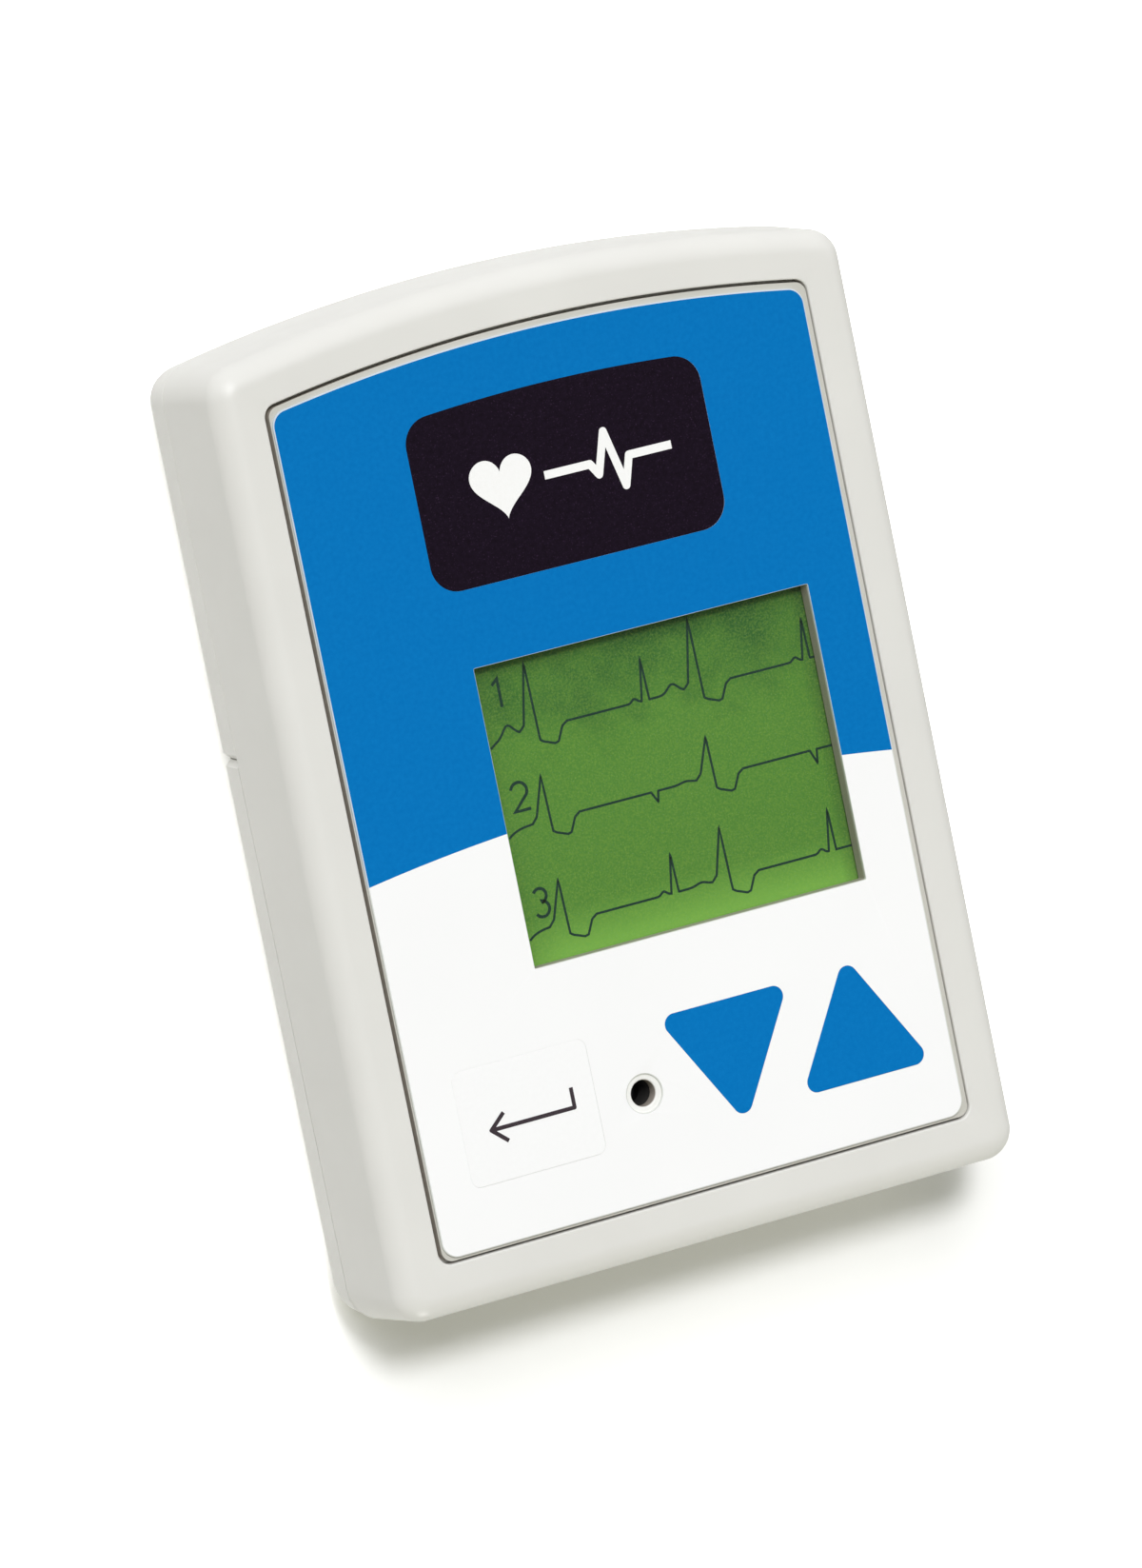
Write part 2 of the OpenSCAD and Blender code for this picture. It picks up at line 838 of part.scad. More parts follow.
module up_key() color(blue_colour) {
    key(up_x, key_row_y - arrow_stem_y) {
        arrow_outline(up_x, 0, 0);
        arrow_outline(up_x, 0, key_flange_w);
    }
}

// Shallow sheet domes on the board, one under each key's stem
module snap_domes() color(steel_colour) {
    places = [
        [event_x, event_y],
        [enter_x, key_row_y],
        [down_x, key_row_y + arrow_stem_y],
        [up_x, key_row_y - arrow_stem_y]
    ];
    for (place = places)
        translate([place[0], place[1], board_top_z])
            snap_dome();
}

// Slice off the top of a hollow ball, as wide as the dome and as high
module snap_dome() {
    ball_r = (pow(dome_d / 2, 2) + pow(dome_h, 2)) / (2 * dome_h);
    rotate_extrude()
        intersection() {
            translate([0, dome_h - ball_r])
                difference() {
                    circle(r = ball_r, $fn = 256);
                    circle(r = ball_r - dome_t, $fn = 256);
                }
            square([dome_d, dome_h]);
        }
}

module lcd_glass() color([0.42, 0.62, 0.28]) {
    translate([0, 0, lcd_z])
        linear_extrude(lcd_t)
            window_outline(lcd_lap);
}

// Frame that stands on the board round the glass and laps over its edge
module lcd_frame() color(plate_colour) difference() {
    translate([0, 0, board_top_z])
        linear_extrude(plate_z - board_top_z)
            window_outline(lcd_lap + fit + lcd_frame_t);
    translate([0, 0, board_top_z - past])
        linear_extrude(lcd_top_z + fit / 2 - board_top_z + past)
            window_outline(lcd_lap + fit);
    translate([0, 0, board_top_z])
        linear_extrude(case_d)
            window_outline(lcd_lap / 2);
}

// Light guide behind the glass, short of the edge where the connector sits
module lcd_backlight() color([0.93, 0.95, 0.90]) {
    side_x = window_w / 2 + lcd_lap - lcd_frame_t;
    box(
        [window_x - side_x, lcd_low_y + 2 * connector_w, backlight_z],
        [window_x + side_x, window_y + window_h / 2 + lcd_lap, lcd_z]
    );
}

// Rubber strip that joins the contacts of the glass to those of the board
module lcd_connector() color([0.75, 0.45, 0.55]) {
    side_x = window_w / 2;
    box(
        [window_x - side_x, lcd_low_y + 0.3, board_top_z],
        [window_x + side_x, lcd_low_y + 0.3 + connector_w, lcd_z]
    );
}

// Board with its corners cut back round the screw bosses
module main_board() color(board_colour) difference() {
    prism(board_z, board_top_z, case_outline(wall_t + board_play));
    both_sides()
        for (side = [-1, 1]) {
            boss_y = side < 0 ? boss_low_y : boss_high_y;
            notch_y = boss_y - side * (boss_d / 2 + board_play);
            box(
                [boss_x - boss_d / 2 - board_play, min(notch_y, side * case_h), board_z - past],
                [case_w, max(notch_y, side * case_h), board_top_z + past]
            );
        }
    at_board_screws()
        translate([0, 0, board_z - past])
            cylinder(d = board_screw_d + 3 * fit, h = board_t + 2 * past);
    translate([port_x, port_y, board_z - past])
        cylinder(d = port_d, h = board_t + 2 * past);
}

// Chip under the board, with rows of legs on two sides, or on all four
module chip(x, y, w, h, t, legs, four_sided) {
    leg_w = 0.4;
    leg_l = 0.9;
    leg_t = 0.25;
    lift = 0.15;
    corner = 1.4;
    translate([x, y, board_z]) {
        translate([0, 0, -lift - t / 2])
            cube([w, h, t], center = true);
        for (turn = four_sided ? [0, 90] : [0])
            rotate(turn)
                for (i = [0:legs - 1]) {
                    reach = (turn == 0 ? w : h) + 2 * leg_l;
                    spread = (turn == 0 ? h : w) - corner;
                    translate([0, i * spread / (legs - 1) - spread / 2, -leg_t / 2])
                        cube([reach, leg_w, leg_t], center = true);
                }
    }
}

module processor() color(chip_colour) {
    chip(processor_x, processor_y, processor_w, processor_w, processor_t, 8, true);
}

module ecg_amplifier() color(chip_colour) {
    chip(amplifier_side - board_side_x, amplifier_y, amplifier_w, amplifier_h, amplifier_t, 7, false);
}

module memory_chip() color(chip_colour) {
    chip(memory_x, memory_y, memory_w, memory_h, memory_t, 8, false);
}

// Metal can with round ends
module clock_crystal() color(steel_colour) {
    translate([crystal_side - board_side_x, crystal_y, board_z - crystal_t])
        linear_extrude(crystal_t)
            rounded_rectangle(crystal_w, crystal_h, crystal_h / 2 - fit);
}

// Square core with a round winding window
module power_inductor() color([0.25, 0.25, 0.27]) {
    translate([board_side_x - inductor_side, inductor_y, board_z - inductor_t])
        difference() {
            linear_extrude(inductor_t)
                rounded_rectangle(inductor_w, inductor_w, inductor_w / 7);
            translate([0, 0, -past])
                difference() {
                    cylinder(d = 0.8 * inductor_w, h = past + inductor_t / 4);
                    cylinder(d = inductor_w / 2, h = 3 * past);
                }
        }
}

// Round can on a square foot
module tank_capacitor() color([0.80, 0.81, 0.83]) {
    foot_w = can_d + 3 * fit;
    foot_t = 1;
    translate([board_side_x - can_side, can_y, board_z]) {
        translate([0, 0, -can_t])
            cylinder(d = can_d, h = can_t - foot_t / 2);
        translate([0, 0, -foot_t / 2])
            cube([foot_w, foot_w, foot_t], center = true);
    }
}

module ceramic_capacitors() color([0.62, 0.50, 0.36]) {
    for (i = [0:4])
        translate([ceramic_side - board_side_x + i * ceramic_pitch, ceramic_y, board_z - ceramic_t / 2])
            cube([ceramic_w, ceramic_h, ceramic_t], center = true);
}

// Round sounder under the board, open towards the sound port
module sounder() color(chip_colour) difference() {
    translate([port_x, port_y, board_z - sounder_h])
        cylinder(d = sounder_d, h = sounder_h);
    translate([port_x, port_y, board_z - sounder_h / 2])
        cylinder(d = port_d - 4 * fit, h = sounder_h);
}

// Soft ring that leads the sound from the board to the port
module sounder_gasket() color([0.16, 0.15, 0.14]) difference() {
    translate([port_x, port_y, board_top_z])
        cylinder(d = gasket_d, h = plate_z - board_top_z);
    translate([port_x, port_y, board_top_z - past])
        cylinder(d = port_d + 2 * fit, h = plate_z - board_top_z + 2 * past);
}

// Socket for the electrode lead, with its collar in the lower end of the housing
module lead_jack() color(chip_colour) difference() {
    union() {
        box(
            [jack_x - jack_w / 2, low_y + wall_t + fit, board_z - jack_h],
            [jack_x + jack_w / 2, low_y + jack_face + jack_bore_l + 2, board_z]
        );
        translate([jack_x, low_y + jack_face, jack_z])
            rotate([-90, 0, 0])
                cylinder(d = jack_collar_d, h = wall_t + past - jack_face);
    }
    translate([jack_x, low_y, jack_z])
        rotate([-90, 0, 0])
            cylinder(d = jack_bore_d, h = jack_face + jack_bore_l);
}

// Cell along Y from the origin, with its contact nub at the far end
module cell() {
    r = cell_d / 2;
    bevel = 0.5;
    can_l = cell_l - nub_h;
    rotate([-90, 0, 0])
        rotate_extrude()
            polygon([
                [0, 0], [r - bevel, 0], [r, bevel], [r, can_l - bevel], [r - bevel, can_l],
                [nub_d / 2, can_l], [nub_d / 2, cell_l], [0, cell_l]
            ]);
}

module battery_left() color([0.20, 0.22, 0.25]) {
    translate([cell_xs[0], bay_low_y + contact_t + spring_h + fit, cell_z])
        cell();
}

module battery_right() color([0.20, 0.22, 0.25]) {
    translate([cell_xs[1], bay_high_y - contact_t - spring_h - fit, cell_z])
        rotate(180)
            cell();
}

// Tapered coil along Z from the origin: rings of points round the wire, swept up a helix
module coil_spring() {
    foot_r = cell_d / 2 - 1.6;
    head_r = foot_r - 1.3;
    sides = 8;
    rings = 14 * spring_turns;
    points = [
        for (k = [0:rings])
            let (
                t = k / rings,
                turn = 360 * spring_turns * t,
                coil_r = foot_r + (head_r - foot_r) * t,
                z = spring_wire_d / 2 + (spring_h - spring_wire_d) * t
            )
                for (i = [0:sides - 1])
                    let (
                        r = coil_r + spring_wire_d / 2 * cos(360 * i / sides),
                        rise = spring_wire_d / 2 * sin(360 * i / sides)
                    )
                        [r * cos(turn), r * sin(turn), z + rise]
    ];
    polyhedron(
        points = points,
        faces = concat(
            [[for (i = [0:sides - 1]) i]],
            [
                for (k = [0:rings - 1])
                    for (i = [0:sides - 1])
                        let (a = k * sides + i, b = k * sides + (i + 1) % sides)
                            each [[a, a + sides, b + sides], [a, b + sides, b]]
            ],
            [[for (i = [sides - 1:-1:0]) rings * sides + i]]
        )
    );
}

module battery_springs() color(steel_colour) {
    translate([cell_xs[0], bay_low_y + contact_t, cell_z])
        rotate([-90, 0, 0])
            coil_spring();
    translate([cell_xs[1], bay_high_y - contact_t, cell_z])
        rotate([90, 0, 0])
            coil_spring();
}

// Contact sheets: one with a tab behind each cell's upper end, and a link across the lower ends
module battery_contacts() color(steel_colour) {
    for (x = cell_xs) {
        box(
            [x - contact_w / 2, bay_high_y - contact_t, cell_z - contact_w / 2],
            [x + contact_w / 2, bay_high_y, cell_z + contact_w / 2]
        );
        box(
            [x - tab_w / 2, bay_high_y - contact_t, cell_z],
            [x + tab_w / 2, bay_high_y, board_z]
        );
        box(
            [x - contact_w / 2, bay_low_y, cell_z - contact_w / 2],
            [x + contact_w / 2, bay_low_y + contact_t, cell_z + contact_w / 2]
        );
    }
    box(
        [cell_xs[0], bay_low_y, cell_z - contact_w / 2],
        [cell_xs[1], bay_low_y + contact_t, cell_z - fit]
    );
}

// Pan head below the origin and shank above it
module screw(head_d, head_h, shank_d, shank_l) {
    slot_w = head_d / 8;
    difference() {
        union() {
            translate([0, 0, -head_h / 2])
                cylinder(d = head_d, h = head_h / 2);
            translate([0, 0, -head_h])
                cylinder(d1 = head_d * 0.75, d2 = head_d, h = head_h / 2);
            cylinder(d = shank_d, h = shank_l);
        }
        for (turn = [0, 90])
            rotate(turn)
                translate([0, 0, -head_h])
                    cube([head_d * 0.6, slot_w, head_h], center = true);
    }
}

module board_screws() color(steel_colour) {
    at_board_screws()
        translate([0, 0, board_z])
            screw(board_head_d, 1.1, board_screw_d, board_screw_l);
}

module case_screws() color(steel_colour) {
    at_case_screws()
        translate([0, 0, deck_z])
            screw(case_head_d, 1.6, case_screw_d, case_screw_l);
}

front_shell();
rear_shell();
battery_door();
front_plate();
graphic_overlay();
display_window();
event_key();
enter_key();
down_key();
up_key();
snap_domes();
lcd_glass();
lcd_frame();
lcd_backlight();
lcd_connector();
main_board();
processor();
ecg_amplifier();
memory_chip();
clock_crystal();
power_inductor();
tank_capacitor();
ceramic_capacitors();
sounder();
sounder_gasket();
lead_jack();
battery_left();
battery_right();
battery_springs();
battery_contacts();
board_screws();
case_screws();
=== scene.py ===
"""Looks of a hand-held ECG event recorder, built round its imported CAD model.

Lengths are written in millimetres and become metres when a mesh is made.
X runs to the right, Y up the device and Z out of its face, and it lies on its back at Z = 0.
"""

import bmesh
import bpy
import numpy as np
from mathutils import Euler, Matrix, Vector
from mathutils.geometry import tessellate_polygon


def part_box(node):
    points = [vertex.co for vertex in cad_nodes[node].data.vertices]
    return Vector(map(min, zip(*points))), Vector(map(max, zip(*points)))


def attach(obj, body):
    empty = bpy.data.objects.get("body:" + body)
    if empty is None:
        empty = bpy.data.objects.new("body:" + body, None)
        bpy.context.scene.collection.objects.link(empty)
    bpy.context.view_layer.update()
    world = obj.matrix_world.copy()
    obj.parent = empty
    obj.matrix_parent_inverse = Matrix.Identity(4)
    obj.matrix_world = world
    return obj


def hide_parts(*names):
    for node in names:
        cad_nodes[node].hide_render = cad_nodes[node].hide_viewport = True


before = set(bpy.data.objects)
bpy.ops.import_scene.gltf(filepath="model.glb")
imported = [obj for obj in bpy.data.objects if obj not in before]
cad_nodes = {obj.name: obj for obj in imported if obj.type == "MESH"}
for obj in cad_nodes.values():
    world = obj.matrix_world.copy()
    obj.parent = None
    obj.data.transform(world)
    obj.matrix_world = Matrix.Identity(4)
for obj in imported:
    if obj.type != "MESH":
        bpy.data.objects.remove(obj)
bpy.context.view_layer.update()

MM = 0.001
CORNER_STEPS = 14
ARCH_STEPS = 28
EDGE_STEPS = 5
FILLET_STEPS = 19
# Degrees between two faces above which the edge between them shows as an edge
SHARP_ANGLE = 40

# Sizes of the CAD model that the pieces below are fitted to
case_w = 71.8
case_h = 101.4
case_d = 20.0
case_arch_r = 172.0
case_corner_r = 3.8
parting_z = 7.9
side_draft = 0.55
front_fillet = 2.6
wall_t = 2.4
rim_w = 5.0
rim_end_w = 5.2
panel_w = case_w - 2 * (rim_w + side_draft)
panel_h = case_h - 2 * (rim_end_w + side_draft)
panel_arch_r = 176.0
panel_corner_r = 1.4
ledge_w = 1.5
ledge_z = 16.6
plate_z = 18.2
film_z = 19.7
face_z = 19.95
field_arc_r = 201.0
field_y = -4.1
window_w = 37.8
window_h = 30.7
window_x = 5.0
window_y = -3.1
glass_z = 17.85
board_top_z = 15.6
key_gap = 0.1
event_w = 32.8
event_h = 18.1
event_arch_r = 175.0
event_corner_r = 2.8
event_x = 0.2
event_y = 29.25
enter_w = 14.85
enter_h = 11.7
enter_corner_r = 0.9
enter_x = -17.7
key_row_y = -32.35
arrow_w = 13.3
arrow_h = 11.6
arrow_corner_r = 1.0
down_x = 5.5
up_x = 19.7
port_x = -4.9
port_y = -33.55
port_film_r = 1.95
port_r = 1.35
jack_x = -20.0
jack_z = 11.8
jack_hole_r = 2.9
least_corner_r = 0.6

# Gaps between the rim and the face's plate and film, from the left, right, lower and upper edges of the
# opening: the plate lies a little to the right in it, as in the photograph
plate_gaps = (0.5, 0.09, 0.22, 0.34)
plate_corner_r = 1.2
film_gaps = (0.6, 0.66, 0.5, 0.92)
film_corner_r = 1.75
bare_edge = 0.14
window_corner_r = 0.15
# Gap round the caps of the keys, which all but fill their openings, and the caps' depth below the plate
cap_gap = 0.012
cap_depth = 0.8


# Outlines


def arc(x, y, radius, start, end, steps):
    """Points on a circle: its centre plus the radius times cosine and sine of an angle that runs evenly."""
    turn = np.radians(np.linspace(start, end, steps + 1))
    return np.column_stack((x + radius * np.cos(turn), y + radius * np.sin(turn)))


def arched_outline(width, height, arch_radius, corner_radius):
    """Straight sides and foot under an arched head. The corner circles touch the arch from inside, so their
    centres lie on a circle round the arch's centre whose radius is smaller by the corner radius."""
    crown = height / 2
    corner_x = width / 2 - corner_radius
    arch_y = crown - arch_radius
    corner_y = arch_y + np.sqrt((arch_radius - corner_radius) ** 2 - corner_x**2)
    meet = np.degrees(np.arctan2(corner_y - arch_y, corner_x))
    right = np.concatenate(
        (
            arc(corner_x, corner_radius - crown, corner_radius, -90, 0, CORNER_STEPS),
            arc(corner_x, corner_y, corner_radius, 0, meet, CORNER_STEPS)[:-1],
            arc(0, arch_y, arch_radius, meet, 90, ARCH_STEPS),
        )
    )
    left = right[-2::-1] * (-1, 1)
    return np.concatenate((right, left))


def case_outline(inset):
    return arched_outline(
        case_w - 2 * inset,
        case_h - 2 * inset,
        case_arch_r - inset,
        max(case_corner_r - inset, least_corner_r),
    )


def panel_outline(inset):
    return arched_outline(
        panel_w - 2 * inset,
        panel_h - 2 * inset,
        panel_arch_r - inset,
        max(panel_corner_r - inset, least_corner_r),
    )


def inner_outline(gaps, corner_r, grow):
    """Outline inside the rim's opening, at its own distance from each edge."""
    left, right, low, high = gaps
    width = panel_w - left - right + 2 * grow
    height = panel_h - low - high + 2 * grow
    loop = arched_outline(width, height, panel_arch_r + grow, corner_r + grow)
    return loop + ((left - right) / 2, (low - high) / 2)


def plate_outline(grow):
    return inner_outline(plate_gaps, plate_corner_r, grow)


def film_outline(grow):
    return inner_outline(film_gaps, film_corner_r, grow)


def rounded_rectangle(width, height, radius, x, y):
    """Four quarter circles, joined by the straight sides between their ends."""
    across = width / 2 - radius
    up = height / 2 - radius
    return np.concatenate(
        (
            arc(x + across, y - up, radius, -90, 0, CORNER_STEPS),
            arc(x + across, y + up, radius, 0, 90, CORNER_STEPS),
            arc(x - across, y + up, radius, 90, 180, CORNER_STEPS),
            arc(x - across, y - up, radius, 180, 270, CORNER_STEPS),
        )
    )


def triangle_outline(x, y, direction, grow):
    """Arcs round the three corner centres, each running between the normals of the sides that meet there.
    Direction 1 points the triangle up and -1 down, through a half turn."""
    base_x = arrow_w / 2 - arrow_corner_r
    base_y = arrow_corner_r - arrow_h / 2
    lean = np.degrees(np.arctan2(base_x, arrow_h - 2 * arrow_corner_r))
    radius = arrow_corner_r + grow
    loop = np.concatenate(
        (
            arc(base_x, base_y, radius, -90, lean, CORNER_STEPS),
            arc(0, -base_y, radius, lean, 180 - lean, CORNER_STEPS),
            arc(-base_x, base_y, radius, 180 - lean, 270, CORNER_STEPS),
        )
    )
    return loop * direction + (x, y)


def event_outline(grow):
    loop = arched_outline(
        event_w + 2 * grow, event_h + 2 * grow, event_arch_r + grow, event_corner_r + grow
    )
    return loop + (event_x, event_y)


def enter_outline(grow):
    return rounded_rectangle(
        enter_w + 2 * grow, enter_h + 2 * grow, enter_corner_r + grow, enter_x, key_row_y
    )


def down_outline(grow):
    return triangle_outline(down_x, key_row_y, -1, grow)


def up_outline(grow):
    return triangle_outline(up_x, key_row_y, 1, grow)


def window_outline(grow):
    corner_r = window_corner_r + max(grow, 0)
    return rounded_rectangle(window_w + 2 * grow, window_h + 2 * grow, corner_r, window_x, window_y)


def port_outline(radius):
    return arc(port_x, port_y, radius, 0, 360, 64)[:-1]


# Meshes


def at_height(outline, z):
    return np.column_stack((outline, np.full(len(outline), z)))


def ring_faces(first, second, count):
    """Quads between two rings of as many points, given by the number of each ring's first point."""
    here = np.arange(count)
    there = (here + 1) % count
    return np.column_stack((first + here, first + there, second + there, second + here)).tolist()


def stack_faces(rings, count, closed):
    """Quads between each ring of a stack and the next, and from the last to the first if it is closed."""
    faces = []
    for ring in range(rings if closed else rings - 1):
        faces += ring_faces(ring * count, (ring + 1) % rings * count, count)
    return faces


def flat_faces(loops, starts, upward):
    """Triangles that fill the first loop round the others, turned so that they face up or down."""
    points = np.concatenate(loops)
    numbers = np.concatenate([start + np.arange(len(loop)) for start, loop in zip(starts, loops)])
    triangles = np.array(tessellate_polygon([[Vector((x, y, 0)) for x, y in loop] for loop in loops]))
    a, b, c = (points[triangles[:, k]] for k in range(3))
    area = (b[:, 0] - a[:, 0]) * (c[:, 1] - a[:, 1]) - (b[:, 1] - a[:, 1]) * (c[:, 0] - a[:, 0])
    wrong = (area > 0) != upward
    triangles[wrong] = triangles[wrong][:, ::-1]
    return numbers[triangles].tolist()


def new_piece(name, points, faces, finish, body, replaces=()):
    """Object at the origin whose mesh holds the points, with flat parts kept flat beside rounded edges."""
    mesh = bpy.data.meshes.new(name)
    mesh.from_pydata((np.asarray(points) * MM).tolist(), [], faces)
    piece = bpy.data.objects.new(name, mesh)
    bpy.context.scene.collection.objects.link(piece)
    dress(piece, finish, body, replaces)
    return piece


def dress(piece, finish, body, replaces, sharp=SHARP_ANGLE):
    """Gives a piece its finish, shading and body, and hides the CAD nodes that it stands for."""
    piece.data.materials.clear()
    piece.data.materials.append(finish)
    piece.data.shade_smooth()
    piece.data.set_sharp_from_angle(angle=np.radians(sharp))
    weighted = piece.modifiers.new("Flat parts stay flat", "WEIGHTED_NORMAL")
    weighted.keep_sharp = True
    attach(piece, body)
    if replaces:
        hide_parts(*replaces)


def plate_mesh(edges, low, high):
    """Flat plate between two heights. Each edge is an outline that grows, a side, a foot radius and a head,
    which is an inset and a drop: the wall leaves the lower face in a quarter circle, stands straight and
    turns onto the upper face through a quarter of an ellipse. The side is 1 for the outer edge, which comes
    first, and -1 for an opening."""
    turn = np.radians(np.linspace(0, 90, EDGE_STEPS))
    points = []
    faces = []
    starts = []
    counts = []
    for outline, side, foot_r, head in edges:
        head_in, head_down = head
        insets = np.concatenate((foot_r * (1 - np.sin(turn)), head_in * (1 - np.cos(turn))))
        heights = np.concatenate((low + foot_r * (1 - np.cos(turn)), high - head_down * (1 - np.sin(turn))))
        rings = [at_height(outline(-side * inset), z) for inset, z in zip(insets, heights)]
        start = sum(len(block) for block in points)
        walls = stack_faces(len(rings), len(rings[0]), False)
        faces += [[start + k for k in face[::side]] for face in walls]
        starts.append(start)
        counts.append(len(rings[0]))
        points.append(np.concatenate(rings))
    feet = [block[:count, :2] for block, count in zip(points, counts)]
    heads = [block[-count:, :2] for block, count in zip(points, counts)]
    head_starts = [start + len(block) - count for start, block, count in zip(starts, points, counts)]
    faces += flat_faces(feet, starts, False)
    faces += flat_faces(heads, head_starts, True)
    return np.concatenate(points), faces


def lathe_mesh(profile, centre, steps=96):
    """Profile of radius and height along Y, turned once round the axis, with its ends on the axis closed."""
    profile = np.array(profile, dtype=float)
    turn = np.linspace(0, 2 * np.pi, steps, endpoint=False)
    rings = [
        np.column_stack((r * np.cos(turn), np.full(steps, along), -r * np.sin(turn))) for r, along in profile
    ]
    faces = stack_faces(len(rings), steps, False)
    count = len(rings) * steps
    points = np.concatenate(rings + [[[0, profile[0, 1], 0], [0, profile[-1, 1], 0]]])
    here = np.arange(steps)
    there = (here + 1) % steps
    faces += np.column_stack((there, here, np.full(steps, count))).tolist()
    last = count - steps
    faces += np.column_stack((last + here, last + there, np.full(steps, count + 1))).tolist()
    return points + centre, faces


def ribbon_mesh(path, width, low, high):
    """Flat strip along a path. At each point half the width is set off to both sides along the normal,
    which is the mean direction of the path turned a quarter, lengthened at corners like a mitre."""
    steps = np.diff(path, axis=0)
    steps /= np.linalg.norm(steps, axis=1)[:, None]
    ahead = np.concatenate((steps, steps[-1:]))
    back = np.concatenate((steps[:1], steps))
    mean = ahead + back
    mean /= np.linalg.norm(mean, axis=1)[:, None]
    least_cosine = 0.45
    mitre = 1 / np.maximum(np.sum(mean * ahead, axis=1), least_cosine)
    off = np.column_stack((-mean[:, 1], mean[:, 0])) * (width / 2 * mitre)[:, None]
    count = len(path)
    left = path + off
    right = path - off
    points = np.stack(
        (at_height(left, low), at_height(right, low), at_height(right, high), at_height(left, high)), axis=1
    ).reshape(-1, 3)
    last = 4 * (count - 1)
    ends = [[3, 2, 1, 0], [last, last + 1, last + 2, last + 3]]
    return points, stack_faces(count, 4, False) + ends


def joined(meshes):
    """One mesh out of several."""
    points = []
    faces = []
    for some_points, some_faces in meshes:
        start = sum(len(block) for block in points)
        points.append(some_points)
        faces += [[start + k for k in face] for face in some_faces]
    return np.concatenate(points), faces


def slab_mesh(outline, low, high):
    """Flat piece of one outline between two heights."""
    count = len(outline)
    points = np.concatenate((at_height(outline, low), at_height(outline, high)))
    faces = flat_faces([outline], [0], False) + flat_faces([outline], [count], True)
    return points, ring_faces(0, count, count) + faces


def stroke_outline(path, width):
    """Outline of a bent line. Its two sides run half the width beside the path: inside each bend they meet
    at the sum of the two normals over one plus their product, and outside it an arc joins them."""
    half = width / 2
    along = np.diff(path, axis=0)
    along /= np.linalg.norm(along, axis=1)[:, None]
    normals = np.column_stack((-along[:, 1], along[:, 0]))
    left = [path[:1] + half * normals[0]]
    right = [path[:1] - half * normals[0]]
    for corner, first, second in zip(path[1:-1], normals, normals[1:]):
        product = first @ second
        inside = half * (first + second) / (1 + product)
        start = np.degrees(np.arctan2(first[1], first[0]))
        bend = np.degrees(np.arctan2(first[0] * second[1] - first[1] * second[0], product))
        if bend > 0:
            left.append([corner + inside])
            right.append(arc(*corner, half, start + 180, start + 180 + bend, CORNER_STEPS))
        else:
            left.append(arc(*corner, half, start, start + bend, CORNER_STEPS))
            right.append([corner - inside])
    left.append(path[-1:] + half * normals[-1])
    right.append(path[-1:] - half * normals[-1])
    return np.concatenate(right + [block[::-1] for block in left[::-1]])


def smooth_copy(node, finish, body):
    """Copy of a CAD node's mesh with its loose triangles merged and those that lie in one plane joined, so
    that its flat parts stay even and its round parts shade smoothly."""
    mesh = cad_nodes[node].data.copy()
    mesh.name = node + "_looks"
    work = bmesh.new()
    work.from_mesh(mesh)
    near = 0.004 * MM
    flat = np.radians(0.5)
    bmesh.ops.remove_doubles(work, verts=work.verts, dist=near)
    bmesh.ops.dissolve_degenerate(work, edges=work.edges, dist=near)
    bmesh.ops.dissolve_limit(work, angle_limit=flat, verts=work.verts, edges=work.edges)
    work.to_mesh(mesh)
    work.free()
    piece = bpy.data.objects.new(node + "_looks", mesh)
    bpy.context.scene.collection.objects.link(piece)
    dress(piece, finish, body, (node,), sharp=25)
    return piece


def cut(piece, points, faces):
    """Takes a solid out of a piece and keeps the result as the piece's own mesh."""
    mesh = bpy.data.meshes.new("cutter")
    mesh.from_pydata((np.asarray(points) * MM).tolist(), [], faces)
    cutter = bpy.data.objects.new("cutter", mesh)
    bpy.context.scene.collection.objects.link(cutter)
    weighted = piece.modifiers[0]
    weighted.show_viewport = False
    taken = piece.modifiers.new("Cut", "BOOLEAN")
    taken.operation = "DIFFERENCE"
    taken.solver = "EXACT"
    taken.object = cutter
    bpy.context.view_layer.update()
    result = bpy.data.meshes.new_from_object(piece.evaluated_get(bpy.context.evaluated_depsgraph_get()))
    piece.modifiers.remove(taken)
    weighted.show_viewport = True
    piece.data = result
    piece.data.set_sharp_from_angle(angle=np.radians(SHARP_ANGLE))
    bpy.data.objects.remove(cutter)


# Finishes


def paint(red, green, blue):
    """Linear colour of a shade given as 0 to 255 on a screen."""
    level = np.array((red, green, blue)) / 255
    linear = np.where(level <= 0.04045, level / 12.92, ((level + 0.055) / 1.055) ** 2.4)
    return (*linear.tolist(), 1.0)


